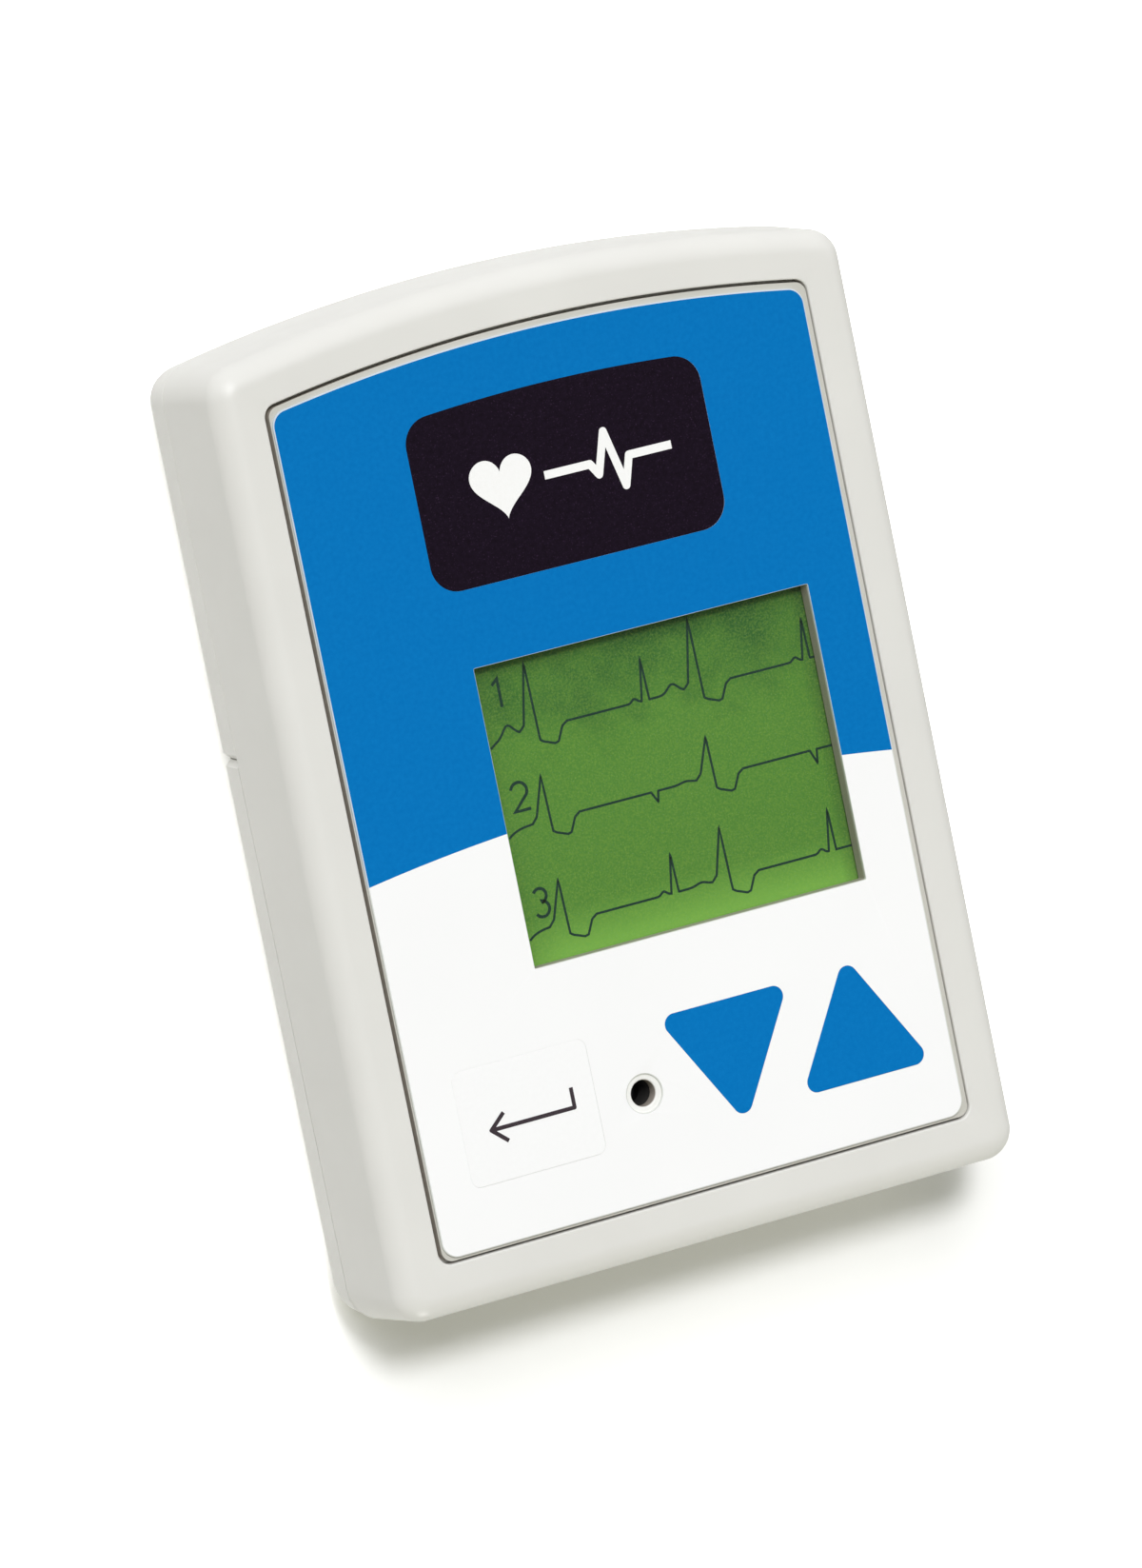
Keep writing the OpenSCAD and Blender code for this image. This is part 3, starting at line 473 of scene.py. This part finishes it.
class Finish:
    """Procedural material on a piece's own coordinates, with tone, gloss and grain from noise."""

    def __init__(self, name, roughness, specular=0.5, metallic=0.0):
        self.material = bpy.data.materials.new(name)
        self.material.use_nodes = True
        self.tree = self.material.node_tree
        self.shader = self.tree.nodes["Principled BSDF"]
        self.shader.inputs["Roughness"].default_value = roughness
        self.shader.inputs["Specular IOR Level"].default_value = specular
        self.shader.inputs["Metallic"].default_value = metallic
        self.place = self.node("ShaderNodeTexCoord").outputs["Object"]

    def node(self, kind, **settings):
        made = self.tree.nodes.new(kind)
        for key, value in settings.items():
            setattr(made, key, value)
        return made

    def link(self, source, target):
        self.tree.links.new(source, target)

    def noise(self, size, detail=3.0, stretch=None):
        """Noise whose lumps are about the given size in millimetres."""
        noise = self.node("ShaderNodeTexNoise")
        noise.inputs["Scale"].default_value = 1 / (size * MM)
        noise.inputs["Detail"].default_value = detail
        place = self.place
        if stretch:
            mapping = self.node("ShaderNodeMapping")
            mapping.inputs["Scale"].default_value = stretch
            self.link(self.place, mapping.inputs["Vector"])
            place = mapping.outputs["Vector"]
        self.link(place, noise.inputs["Vector"])
        return noise.outputs["Fac"]

    def blend(self, factor, first, second):
        """Mix of two colours, each a plain shade or another node's output."""
        mix = self.node("ShaderNodeMix", data_type="RGBA")
        self.link(factor, mix.inputs["Factor"])
        for socket, colour in ((mix.inputs["A"], first), (mix.inputs["B"], second)):
            if isinstance(colour, tuple):
                socket.default_value = colour
            else:
                self.link(colour, socket)
        return mix.outputs["Result"]

    def span(self, source, from_low, from_high, to_low, to_high):
        """Value moved from one range to another and held inside it."""
        span = self.node("ShaderNodeMapRange")
        for name, value in (
            ("From Min", from_low),
            ("From Max", from_high),
            ("To Min", to_low),
            ("To Max", to_high),
        ):
            span.inputs[name].default_value = value
        self.link(source, span.inputs["Value"])
        return span.outputs["Result"]

    def math(self, operation, first, second):
        made = self.node("ShaderNodeMath", operation=operation)
        for socket, value in ((made.inputs[0], first), (made.inputs[1], second)):
            if isinstance(value, (int, float)):
                socket.default_value = value
            else:
                self.link(value, socket)
        return made.outputs["Value"]

    def part(self, name):
        """One of the three coordinates."""
        split = self.node("ShaderNodeSeparateXYZ")
        self.link(self.place, split.inputs["Vector"])
        return split.outputs[name]

    def away(self, x, y, z):
        """Distance in metres from a point given in millimetres."""
        away = self.node("ShaderNodeVectorMath", operation="DISTANCE")
        away.inputs[1].default_value = (x * MM, y * MM, z * MM)
        self.link(self.place, away.inputs[0])
        return away.outputs["Value"]

    def colour(self, source):
        self.link(source, self.shader.inputs["Base Color"])

    def toned(self, dark, light, size):
        """Colour that wavers softly between two shades."""
        spread = 0.22
        return self.blend(self.span(self.noise(size), 0.5 - spread, 0.5 + spread, 0, 1), dark, light)

    def gloss(self, size, low, high):
        self.link(self.span(self.noise(size), 0.3, 0.7, low, high), self.shader.inputs["Roughness"])

    def grain(self, size, depth, stretch=None):
        """Relief of noise, with lumps of a size and depth in millimetres."""
        bump = self.node("ShaderNodeBump")
        bump.inputs["Distance"].default_value = depth * MM
        bump.inputs["Strength"].default_value = 1.0
        self.link(self.noise(size, 2.0, stretch), bump.inputs["Height"])
        self.link(bump.outputs["Normal"], self.shader.inputs["Normal"])


def moulded(name, dark, light, roughness, grain_size, grain_depth):
    """Moulded plastic: faint clouds in its tone, a little change in gloss and a fine eroded grain."""
    finish = Finish(name, roughness)
    finish.colour(finish.toned(dark, light, 14))
    finish.gloss(3, roughness - 0.05, roughness + 0.06)
    finish.grain(grain_size, grain_depth)
    return finish.material


def metal(name, dark, light, roughness, stretch):
    """Bare metal with fine scratches along one direction."""
    finish = Finish(name, roughness, metallic=1.0)
    finish.colour(finish.toned(dark, light, 3))
    finish.gloss(0.6, roughness - 0.08, roughness + 0.1)
    finish.grain(0.2, 0.004, stretch=stretch)
    return finish.material


def film_finish():
    """Printed film: blue outside a large circle and white inside it, with the clear film's pale cut edge."""
    finish = Finish("Printed film", 0.5, 0.04)
    flat = finish.node("ShaderNodeVectorMath", operation="MULTIPLY")
    flat.inputs[1].default_value = (1, 1, 0)
    finish.link(finish.place, flat.inputs[0])
    away = finish.node("ShaderNodeVectorMath", operation="DISTANCE")
    away.inputs[1].default_value = (0, (field_y - field_arc_r) * MM, 0)
    finish.link(flat.outputs["Vector"], away.inputs[0])
    white = finish.math("LESS_THAN", away.outputs["Value"], field_arc_r * MM)
    blue_ink = finish.toned(paint(3, 112, 185), paint(7, 119, 191), 0.5)
    white_ink = finish.toned(paint(249, 249, 249), paint(251, 251, 251), 20)
    printed = finish.blend(white, blue_ink, white_ink)
    edge = finish.math("LESS_THAN", finish.part("Z"), (face_z - 0.001) * MM)
    cut_edge = finish.blend(white, paint(206, 218, 228), paint(221, 223, 218))
    finish.colour(finish.blend(edge, printed, cut_edge))
    finish.gloss(2, 0.45, 0.56)
    finish.grain(0.22, 0.002)
    return finish.material


def ink(name, dark, light, speckle):
    """Printed key: two close shades and a fine speckle."""
    roughness = 0.5
    finish = Finish(name, roughness, 0.04)
    base = finish.toned(dark, light, 0.5)
    dots = finish.span(finish.noise(0.16, 1.0), 0.62, 0.78, 0, 0.5)
    finish.colour(finish.blend(dots, base, speckle))
    finish.gloss(2, roughness - 0.04, roughness + 0.06)
    finish.grain(0.2, 0.003)
    return finish.material


def display_finish():
    """Green display with a fine yellow grain, bright along its lower edge and dim and cloudy at the top,
    partly its own uneven brightness and partly painted light and shade of its recess, and with painted shade
    along its left and right edges.
    """
    finish = Finish("Display glass", 0.3, 0.04)
    low_y = (window_y - window_h / 2) * MM
    high_y = (window_y + window_h / 2) * MM
    left_x = (window_x - window_w / 2) * MM
    right_x = (window_x + window_w / 2) * MM
    height = finish.span(finish.part("Y"), low_y, high_y, 0, 1)
    across = finish.span(finish.part("X"), left_x, right_x, 0, 1)
    clouds = finish.span(finish.noise(5), 0.3, 0.7, -0.12, 0.12)
    # Dim cloudy upper part and bright lower edge: partly the display's own uneven brightness, partly painted
    # light and shade of the recess behind the window
    top = finish.span(finish.math("ADD", height, clouds), 0.66, 1.0, 0, 1)
    field = finish.blend(finish.span(height, 0.16, 0.0, 0, 1), paint(83, 135, 55), paint(119, 175, 75))
    field = finish.blend(top, field, paint(49, 98, 46))
    # Darker strips at the right and left edges: painted shade of the window's walls
    field = finish.blend(finish.span(across, 0.96, 1.0, 0, 0.5), field, paint(52, 84, 44))
    field = finish.blend(finish.span(across, 0.12, 0.0, 0, 0.4), field, paint(74, 118, 52))
    grain = finish.span(finish.noise(0.2, 2.0), 0.4, 0.7, 0, 0.22)
    finish.colour(finish.blend(grain, field, paint(158, 194, 74)))
    finish.gloss(2, 0.26, 0.36)
    return finish.material


def plate_finish():
    """Pale plate, near white in the ring round the sound port, with painted shade darkening its cut walls.
    """
    finish = Finish("Plate plastic", 0.5, 0.3)
    band = finish.toned(paint(196, 195, 186), paint(203, 201, 193), 6)
    ring = finish.span(finish.away(port_x, port_y, film_z), 2.6 * MM, 2.2 * MM, 0, 1)
    lit = finish.blend(ring, band, paint(243, 243, 239))
    # Painted shade: the plate darkens below the film's level, on the walls of its openings and its edge
    wall = finish.span(finish.part("Z"), (film_z - 0.06) * MM, (film_z - 0.25) * MM, 0, 1)
    finish.colour(finish.blend(wall, lit, paint(168, 160, 150)))
    finish.gloss(3, 0.45, 0.56)
    finish.grain(0.3, 0.003)
    return finish.material


def clear_finish():
    """Clear window: almost all light passes, and the rest is a faint gloss with a trace of haze."""
    finish = Finish("Clear window", 0.06, 0.2)
    finish.colour(finish.toned(paint(120, 140, 110), paint(136, 152, 124), 8))
    finish.shader.inputs["Alpha"].default_value = 0.03
    finish.gloss(4, 0.04, 0.1)
    finish.material.surface_render_method = "BLENDED"
    return finish.material


def board_finish():
    """Circuit board: green lacquer over a darker weave, with a fine grid of tracks, and painted shade
    below the sounder's opening."""
    finish = Finish("Circuit board", 0.35)
    tracks = finish.node("ShaderNodeTexBrick")
    tracks.inputs["Scale"].default_value = 1 / (2.4 * MM)
    tracks.inputs["Mortar Size"].default_value = 0.06
    tracks.inputs["Color1"].default_value = paint(18, 84, 46)
    tracks.inputs["Color2"].default_value = paint(24, 96, 52)
    tracks.inputs["Mortar"].default_value = paint(44, 128, 72)
    finish.link(finish.place, tracks.inputs["Vector"])
    lacquer = finish.blend(finish.noise(0.5), tracks.outputs["Color"], paint(16, 76, 42))
    # Painted shade: the board turns near black round the point below the sound port
    port_shade = finish.span(finish.away(port_x, port_y, board_top_z), 2.4 * MM, 2.0 * MM, 0, 1)
    finish.colour(finish.blend(port_shade, lacquer, paint(22, 21, 20)))
    finish.gloss(3, 0.28, 0.42)
    finish.grain(0.6, 0.01)
    return finish.material


def cell_finish():
    """Cell jacket: plain dark wrap."""
    finish = Finish("Cell jacket", 0.3)
    finish.colour(finish.toned(paint(48, 54, 62), paint(58, 64, 72), 6))
    finish.gloss(2, 0.24, 0.38)
    finish.grain(0.3, 0.003)
    return finish.material


satin_grey = (paint(221, 220, 215), paint(225, 224, 219))
# The rear half's plastic is the front's, painted lighter: painted light of the floor's bounce on its sides
back_grey_painted_light = (paint(227, 226, 221), paint(230, 229, 224))
finishes = {
    "housing": moulded("Housing plastic", *satin_grey, 0.44, 0.24, 0.004),
    "back": moulded("Back plastic painted lighter", *back_grey_painted_light, 0.44, 0.24, 0.004),
    "plate": plate_finish(),
    "film_print": film_finish(),
    "clear_window": clear_finish(),
    "dark_key": ink("Dark key ink", paint(17, 9, 19), paint(25, 16, 29), paint(66, 48, 72)),
    "pale_key": ink("Pale key ink", paint(249, 249, 249), paint(251, 251, 251), paint(248, 248, 248)),
    "blue_key": ink("Blue key ink", paint(3, 113, 186), paint(7, 119, 191), paint(16, 128, 198)),
    "steel": metal("Bright steel", paint(176, 178, 182), paint(200, 202, 205), 0.3, (1, 1, 9)),
    "lcd": display_finish(),
    "light_guide": moulded("Light guide", paint(226, 230, 224), paint(238, 240, 236), 0.3, 0.5, 0.004),
    "connector_rubber": moulded("Rubber", paint(196, 132, 150), paint(206, 144, 160), 0.7, 0.3, 0.01),
    "board": board_finish(),
    "chip": moulded("Chip moulding", paint(28, 28, 30), paint(38, 38, 40), 0.55, 0.12, 0.01),
    "ferrite": moulded("Ferrite", paint(58, 58, 62), paint(70, 70, 74), 0.6, 0.2, 0.012),
    "can": metal("Capacitor can", paint(190, 192, 195), paint(208, 209, 212), 0.36, (1, 1, 6)),
    "ceramic": moulded("Ceramic", paint(164, 132, 96), paint(176, 146, 110), 0.5, 0.15, 0.008),
    "gasket": moulded("Gasket foam", paint(34, 33, 31), paint(46, 44, 42), 0.9, 0.2, 0.02),
    "socket": moulded("Socket plastic", paint(30, 31, 33), paint(38, 39, 41), 0.5, 0.2, 0.006),
    "cell": cell_finish(),
}
for cad_node in cad_nodes.values():
    slot_name = cad_node.material_slots[0].material.name.split(".")[0]
    cad_node.material_slots[0].material = finishes[slot_name]

mark_dark = ink("Dark mark ink", paint(60, 52, 58), paint(66, 58, 62), paint(84, 76, 80))
mark_white = ink("White mark ink", paint(248, 248, 246), paint(250, 250, 249), paint(242, 242, 240))
display_dark = ink("Display marks", paint(24, 50, 44), paint(32, 58, 50), paint(44, 72, 52))


# Front half of the housing


def front_half():
    """Closed section carried round the device: up the drafted side, over the rounded edge, across the rim,
    down into the plate's seat and back down the inside of the wall."""
    turn = np.radians(np.linspace(0, 90, FILLET_STEPS))
    small = np.radians(np.linspace(0, 90, EDGE_STEPS))
    parting_r = 0.15
    mouth_r = 0.2
    jack_cut_l = 5
    rings = [
        at_height(case_outline(parting_r * (1 - np.sin(a))), parting_z + parting_r * (1 - np.cos(a)))
        for a in small
    ]
    rings += [
        at_height(
            case_outline(side_draft + front_fillet * (1 - np.cos(a))),
            case_d - front_fillet * (1 - np.sin(a)),
        )
        for a in turn
    ]
    rings += [
        at_height(panel_outline(-mouth_r * (1 - np.sin(a))), case_d - mouth_r * (1 - np.cos(a)))
        for a in small
    ]
    rings += [
        at_height(panel_outline(0), plate_z),
        at_height(panel_outline(ledge_w), plate_z),
        at_height(panel_outline(ledge_w), ledge_z),
        at_height(case_outline(wall_t), ledge_z),
        at_height(case_outline(wall_t), parting_z),
    ]
    faces = stack_faces(len(rings), len(rings[0]), True)
    points = np.concatenate(rings)
    plastic = finishes["housing"]
    piece = new_piece("housing_front", points, faces, plastic, "housing", ("front_shell",))
    start = (jack_x, -case_h / 2 - 1, jack_z)
    cut(piece, *lathe_mesh([(jack_hole_r, 0), (jack_hole_r, jack_cut_l)], start))


front_half()
smooth_copy("rear_shell", finishes["back"], "housing")
smooth_copy("battery_door", finishes["back"], "battery_door")


# Face: plate, printed film and key caps

key_holes = (event_outline, enter_outline, down_outline, up_outline)


def hole_round(outline, clearance):
    return lambda grow: outline(clearance + grow)


def face_plate():
    edge_r = 0.05
    edges = [(plate_outline, 1, edge_r, (edge_r, edge_r))]
    edges += [(hole_round(outline, key_gap), -1, edge_r, (edge_r, edge_r)) for outline in key_holes]
    edges.append((window_outline, -1, edge_r, (edge_r, edge_r)))
    edges.append((lambda grow: port_outline(port_r + grow), -1, 0.1, (0.2, 0.2)))
    points, faces = plate_mesh(edges, plate_z, film_z)
    new_piece("face_plate", points, faces, finishes["plate"], "housing", ("front_plate",))


def face_film():
    foot_r = 0.02
    edges = [(film_outline, 1, foot_r, (bare_edge, 0.05))]
    edges += [(hole_round(outline, key_gap), -1, foot_r, (0.002, 0.0005)) for outline in key_holes]
    edges.append((window_outline, -1, foot_r, (0.05, 0.05)))
    edges.append((lambda grow: port_outline(port_film_r + grow), -1, foot_r, (0.12, 0.12)))
    points, faces = plate_mesh(edges, film_z, face_z)
    new_piece(
        "face_film", points, faces, finishes["film_print"], "housing", ("graphic_overlay",)
    )


def key_cap(name, outline, finish, body):
    """Cap that all but fills its hole in the film, as a printed key on one sheet looks."""
    edges = [(hole_round(outline, key_gap - cap_gap), 1, 0.05, (0.03, 0.03))]
    points, faces = plate_mesh(edges, plate_z - cap_depth, face_z)
    new_piece(name, points, faces, finish, body, (body,))


face_plate()
face_film()
key_cap("event_cap", event_outline, finishes["dark_key"], "event_key")
key_cap("enter_cap", enter_outline, finishes["pale_key"], "enter_key")
key_cap("down_cap", down_outline, finishes["blue_key"], "down_key")
key_cap("up_cap", up_outline, finishes["blue_key"], "up_key")


# Marks on the keys, in place of words

ink_low = face_z - 0.01
ink_high = face_z + 0.02
heart_size = 0.215
heart_place = (-6.9, 29.6)
pulse_y = 29.3
pulse_w = 0.85
arrow_place = (-17.3, -32.5)
arrow_line_w = 0.42


def pulse_heart():
    """Filled heart, sixteen times the cubed sine across and four cosines up, beside a pulse line."""
    t = np.linspace(0, 2 * np.pi, 120, endpoint=False)
    heart = np.column_stack(
        (16 * np.sin(t) ** 3, 13 * np.cos(t) - 5 * np.cos(2 * t) - 2 * np.cos(3 * t) - np.cos(4 * t))
    )
    heart = heart[::-1] * heart_size + heart_place
    beat = np.array(((-2.2, 0), (2.9, 0), (3.7, -1.2), (5.0, 2.9), (6.4, -2.9), (7.3, 0), (12.1, 0)))
    pulse = slab_mesh(stroke_outline(beat + (0, pulse_y), pulse_w), ink_low, ink_high)
    points, faces = joined((slab_mesh(heart, ink_low, ink_high), pulse))
    new_piece("event_mark", points, faces, mark_white, "event_key")


def return_arrow():
    """Line down and to the left, with an open arrow head laid over its end."""
    line = np.array(((4.6, 1.55), (4.6, -0.5), (-4.6, -0.5)))
    head = np.array(((-3.1, 0.95), (-4.75, -0.5), (-3.1, -1.95)))
    meshes = [
        slab_mesh(stroke_outline(line + arrow_place, arrow_line_w), ink_low, ink_high),
        slab_mesh(stroke_outline(head + arrow_place, arrow_line_w), ink_low, ink_high + 0.005),
    ]
    points, faces = joined(meshes)
    new_piece("enter_mark", points, faces, mark_dark, "enter_key")


pulse_heart()
return_arrow()


# Display

display_low = glass_z - 0.01
display_high = glass_z + 0.02
trace_from = window_x - window_w / 2 + 1.0
trace_to = window_x + window_w / 2 + 0.6
row_heights = (4.65, -4.55, -15.0)
trace_w = 0.24
number_x = -11.75
number_feet = (7.6, -3.0, -13.9)
number_size = 0.8
number_w = 0.32


def peak(x, centre, height, before, after):
    """Straight rise to a tip and a straight fall, each over its own width."""
    rise = np.clip(1 - (centre - x) / before, 0, 1)
    fall = np.clip(1 - (x - centre) / after, 0, 1)
    return height * np.where(x < centre, rise, fall)


def hill(x, centre, height, width):
    """Bell curve."""
    return height * np.exp(-(((x - centre) / width) ** 2))


def wide_beat(x, centre, height, hump):
    """Low hump, then straight strokes: up to a tip, down past the base line, a slow sink and a rise back."""
    along = (-1.9, -1.3, 0, 0.15, 0.5, 1.7, 2.1, 2.8, 3.4)
    rises = (0, 0.6, height, -1.2, -1.45, -1.9, -1.8, -0.4, 0)
    return hill(x, centre - 3.1, hump, 0.8) + np.interp(x - centre, along, rises)


def narrow_beat(x, centre, height):
    return hill(x, centre - 1.5, 0.4, 0.4) + peak(x, centre, height, 0.7, 0.15)


def notch(x, centre, depth):
    return peak(x, centre, -depth, 0.6, 0.2)


def traces():
    """Three heart traces: each height is a base line plus beats of named forms."""
    x = np.linspace(trace_from, trace_to, 1100)
    first = wide_beat(x, -7.6, 6.8, 1.1) + narrow_beat(x, 5.0, 4.3) + wide_beat(x, 11.0, 7.0, 0.9)
    first += narrow_beat(x, 23.4, 4.2)
    second = wide_beat(x, -8.2, 4.5, 0) + notch(x, 3.9, 1.1) + wide_beat(x, 10.4, 4.1, 0.2)
    second += notch(x, 22.1, 1.4)
    third = wide_beat(x, -8.6, 4.4, 0) + narrow_beat(x, 4.0, 4.0) + wide_beat(x, 9.9, 5.3, 0.3)
    third += narrow_beat(x, 22.1, 4.3)
    start = -0.9 * np.exp(trace_from - x)
    meshes = [
        ribbon_mesh(np.column_stack((x, base + row + start)), trace_w, display_low, display_high)
        for base, row in zip(row_heights, (first, second, third))
    ]
    points, faces = joined(meshes)
    new_piece("display_traces", points, faces, display_dark, "housing")


def channel_numbers():
    """Plain numbers 1 to 3 in one stroke each, made of straight lines and arcs."""
    one = np.array(((0.35, 2.9), (1.2, 3.6), (1.2, 0)))
    two = np.concatenate((arc(1.1, 2.5, 1.1, 165, -35, 20), ((0.1, 0.02), (2.3, 0.02))))
    three = np.concatenate((arc(1.05, 2.7, 0.9, 150, -75, 18), arc(1.05, 1.0, 1.0, 80, -150, 20)))
    meshes = [
        ribbon_mesh(shape * number_size + (number_x, foot), number_w, display_low, display_high)
        for shape, foot in zip((one, two, three), number_feet)
    ]
    points, faces = joined(meshes)
    new_piece("display_numbers", points, faces, display_dark, "housing")


traces()
channel_numbers()


# Cells


def cell(name, node, nub_up):
    """Turned can: flat end, rounded shoulders and a contact nub, with the jacket's lip at both ends."""
    low, high = (np.array(corner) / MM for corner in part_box(node))
    radius = (high[0] - low[0]) / 2
    length = high[1] - low[1]
    middle = (low + high) / 2
    profile = np.array(
        (
            (3.6, 0.0),
            (3.7, 0.12),
            (radius - 0.7, 0.12),
            (radius - 0.55, 0.0),
            (radius - 0.3, 0.0),
            (radius - 0.08, 0.09),
            (radius, 0.35),
            (radius, length - 1.35),
            (radius - 0.08, length - 1.09),
            (radius - 0.3, length - 1.0),
            (radius - 0.6, length - 1.0),
            (radius - 0.75, length - 1.12),
            (2.4, length - 1.12),
            (1.9, length - 1.0),
            (1.88, length - 0.2),
            (1.72, length),
        )
    )
    if not nub_up:
        profile = profile[::-1] * (1, -1) + (0, length)
    points, faces = lathe_mesh(profile, (middle[0], low[1], middle[2]), 80)
    new_piece(name, points, faces, finishes["cell"], "housing", (node,))


cell("cell_left", "battery_left", True)
cell("cell_right", "battery_right", False)


# Floor, light and camera

# Colours of the world's light towards the device's lower and upper end, and where the blend between them
# starts along Y
world_foot = (0.1, 0.1, 0.05, 1)
world_head = (0.34, 0.35, 0.38, 1)
world_start = -0.3
# Each lamp's name, direction, level, spread in degrees and colour
high_lamp = ("High lamp", (-0.17, 0.38, 0.91), 0.38, 10, (1.0, 1.0, 1.02))
soft_lamp = ("Soft lamp", (-0.27, 0.55, 0.79), 0.5, 40, (1.0, 1.0, 1.02))
side_lamp = ("Side lamp", (0.93, 0.1, 0.36), 0.14, 40, (1.0, 1.0, 1.0))
foot_lamp = ("Foot lamp", (0.03, -0.99, 0.06), 0.5, 20, (1.0, 1.0, 0.96))
# What only the camera sees the floor reflect on top, below the device's lower end and beside the device,
# and where along Y the one passes into the other. Beside the device it is painted light, strong enough to
# hide the floor's shadow there.
foot_lift = 0.26
side_painted_light = 0.98
foot_lift_y = -case_h / 2 - 3
side_painted_light_y = -case_h / 2 + 8
floor_colour = (0.9, 0.9, 0.89, 1)
floor_half = 2.0
floor_z = -0.0002
lens_mm = 279.9
sensor_w = 36
camera_place = (-0.36046, 0.11064, 0.82430)
camera_turn = (-2.0771, -24.7197, -12.5805)


def seen_factor(tree):
    """One for rays from the camera and for those reflected or let through to the background, else nought."""
    path = tree.nodes.new("ShaderNodeLightPath")
    first = tree.nodes.new("ShaderNodeMath")
    first.operation = "MAXIMUM"
    second = tree.nodes.new("ShaderNodeMath")
    second.operation = "MAXIMUM"
    tree.links.new(path.outputs["Is Camera Ray"], first.inputs[0])
    tree.links.new(path.outputs["Is Glossy Ray"], first.inputs[1])
    tree.links.new(first.outputs["Value"], second.inputs[0])
    tree.links.new(path.outputs["Is Transmission Ray"], second.inputs[1])
    return second.outputs["Value"]


def span_along_y(tree, coordinate, start, end, low, high):
    """Value that runs from low to high as a texture coordinate's Y runs from start to end, held outside."""
    place = tree.nodes.new("ShaderNodeTexCoord")
    split = tree.nodes.new("ShaderNodeSeparateXYZ")
    span = tree.nodes.new("ShaderNodeMapRange")
    for name, value in (("From Min", start), ("From Max", end), ("To Min", low), ("To Max", high)):
        span.inputs[name].default_value = value
    tree.links.new(place.outputs[coordinate], split.inputs["Vector"])
    tree.links.new(split.outputs["Y"], span.inputs["Value"])
    return span.outputs["Result"]


def light_world():
    """Dim graded light on the object, before a background that the camera sees as white."""
    world = bpy.data.worlds.new("Studio")
    bpy.context.scene.world = world
    world.use_nodes = True
    tree = world.node_tree
    lit = tree.nodes["Background"]
    lit.inputs["Strength"].default_value = 1.0
    tint = tree.nodes.new("ShaderNodeMix")
    tint.data_type = "RGBA"
    tint.inputs["A"].default_value = world_foot
    tint.inputs["B"].default_value = world_head
    tree.links.new(span_along_y(tree, "Generated", world_start, 1, 0, 1), tint.inputs["Factor"])
    tree.links.new(tint.outputs["Result"], lit.inputs["Color"])
    seen = tree.nodes.new("ShaderNodeBackground")
    seen.inputs["Color"].default_value = (1, 1, 1, 1)
    seen.inputs["Strength"].default_value = 1.0
    mix = tree.nodes.new("ShaderNodeMixShader")
    tree.links.new(seen_factor(tree), mix.inputs["Fac"])
    tree.links.new(lit.outputs["Background"], mix.inputs[1])
    tree.links.new(seen.outputs["Background"], mix.inputs[2])
    tree.links.new(mix.outputs["Shader"], tree.nodes["World Output"].inputs["Surface"])


def lay_floor():
    """Pale floor that the camera sees white: it sees a second reflection on top of the one that lights the
    object, weaker below the device's lower end, where the shadow shows, and beside the device painted
    light strong enough to hide the shadow there."""
    mesh = bpy.data.meshes.new("floor")
    corners = [(x * floor_half, y * floor_half, floor_z) for x, y in ((-1, -1), (1, -1), (1, 1), (-1, 1))]
    mesh.from_pydata(corners, [], [(0, 1, 2, 3)])
    floor = bpy.data.objects.new("floor", mesh)
    bpy.context.scene.collection.objects.link(floor)
    material = bpy.data.materials.new("Pale floor")
    material.use_nodes = True
    tree = material.node_tree
    tree.nodes.remove(tree.nodes["Principled BSDF"])
    plain = tree.nodes.new("ShaderNodeBsdfDiffuse")
    plain.inputs["Color"].default_value = floor_colour
    lift = tree.nodes.new("ShaderNodeBsdfDiffuse")
    level = span_along_y(tree, "Object", foot_lift_y * MM, side_painted_light_y * MM, foot_lift, side_painted_light)
    tree.links.new(level, lift.inputs["Color"])
    both = tree.nodes.new("ShaderNodeAddShader")
    mix = tree.nodes.new("ShaderNodeMixShader")
    path = tree.nodes.new("ShaderNodeLightPath")
    tree.links.new(plain.outputs["BSDF"], both.inputs[0])
    tree.links.new(lift.outputs["BSDF"], both.inputs[1])
    tree.links.new(path.outputs["Is Camera Ray"], mix.inputs["Fac"])
    tree.links.new(plain.outputs["BSDF"], mix.inputs[1])
    tree.links.new(both.outputs["Shader"], mix.inputs[2])
    tree.links.new(mix.outputs["Shader"], tree.nodes["Material Output"].inputs["Surface"])
    mesh.materials.append(material)


def hang_lamp(name, direction, level, spread, colour):
    """Lamp that shines from a direction, as wide in the sky as its spread, with a level at which 1 lights a
    facing surface to its own colour."""
    lamp = bpy.data.lights.new(name, "SUN")
    lamp.energy = level * np.pi
    lamp.color = colour
    lamp.angle = np.radians(spread)
    holder = bpy.data.objects.new(name, lamp)
    bpy.context.scene.collection.objects.link(holder)
    holder.rotation_euler = Vector(direction).to_track_quat("Z", "Y").to_euler()


def place_camera():
    """Camera as fitted to the straight and arched edges of the face in the photograph."""
    lens = bpy.data.cameras.new("Camera")
    lens.sensor_fit = "HORIZONTAL"
    lens.sensor_width = sensor_w
    lens.lens = lens_mm
    lens.clip_start = 0.01
    lens.clip_end = 20
    camera = bpy.data.objects.new("Camera", lens)
    bpy.context.scene.collection.objects.link(camera)
    camera.location = camera_place
    camera.rotation_euler = Euler(np.radians(camera_turn), "XYZ")
    bpy.context.scene.camera = camera


light_world()
lay_floor()
for lamp in (high_lamp, soft_lamp, side_lamp, foot_lamp):
    hang_lamp(*lamp)
place_camera()
bpy.context.scene.view_settings.view_transform = "Standard"
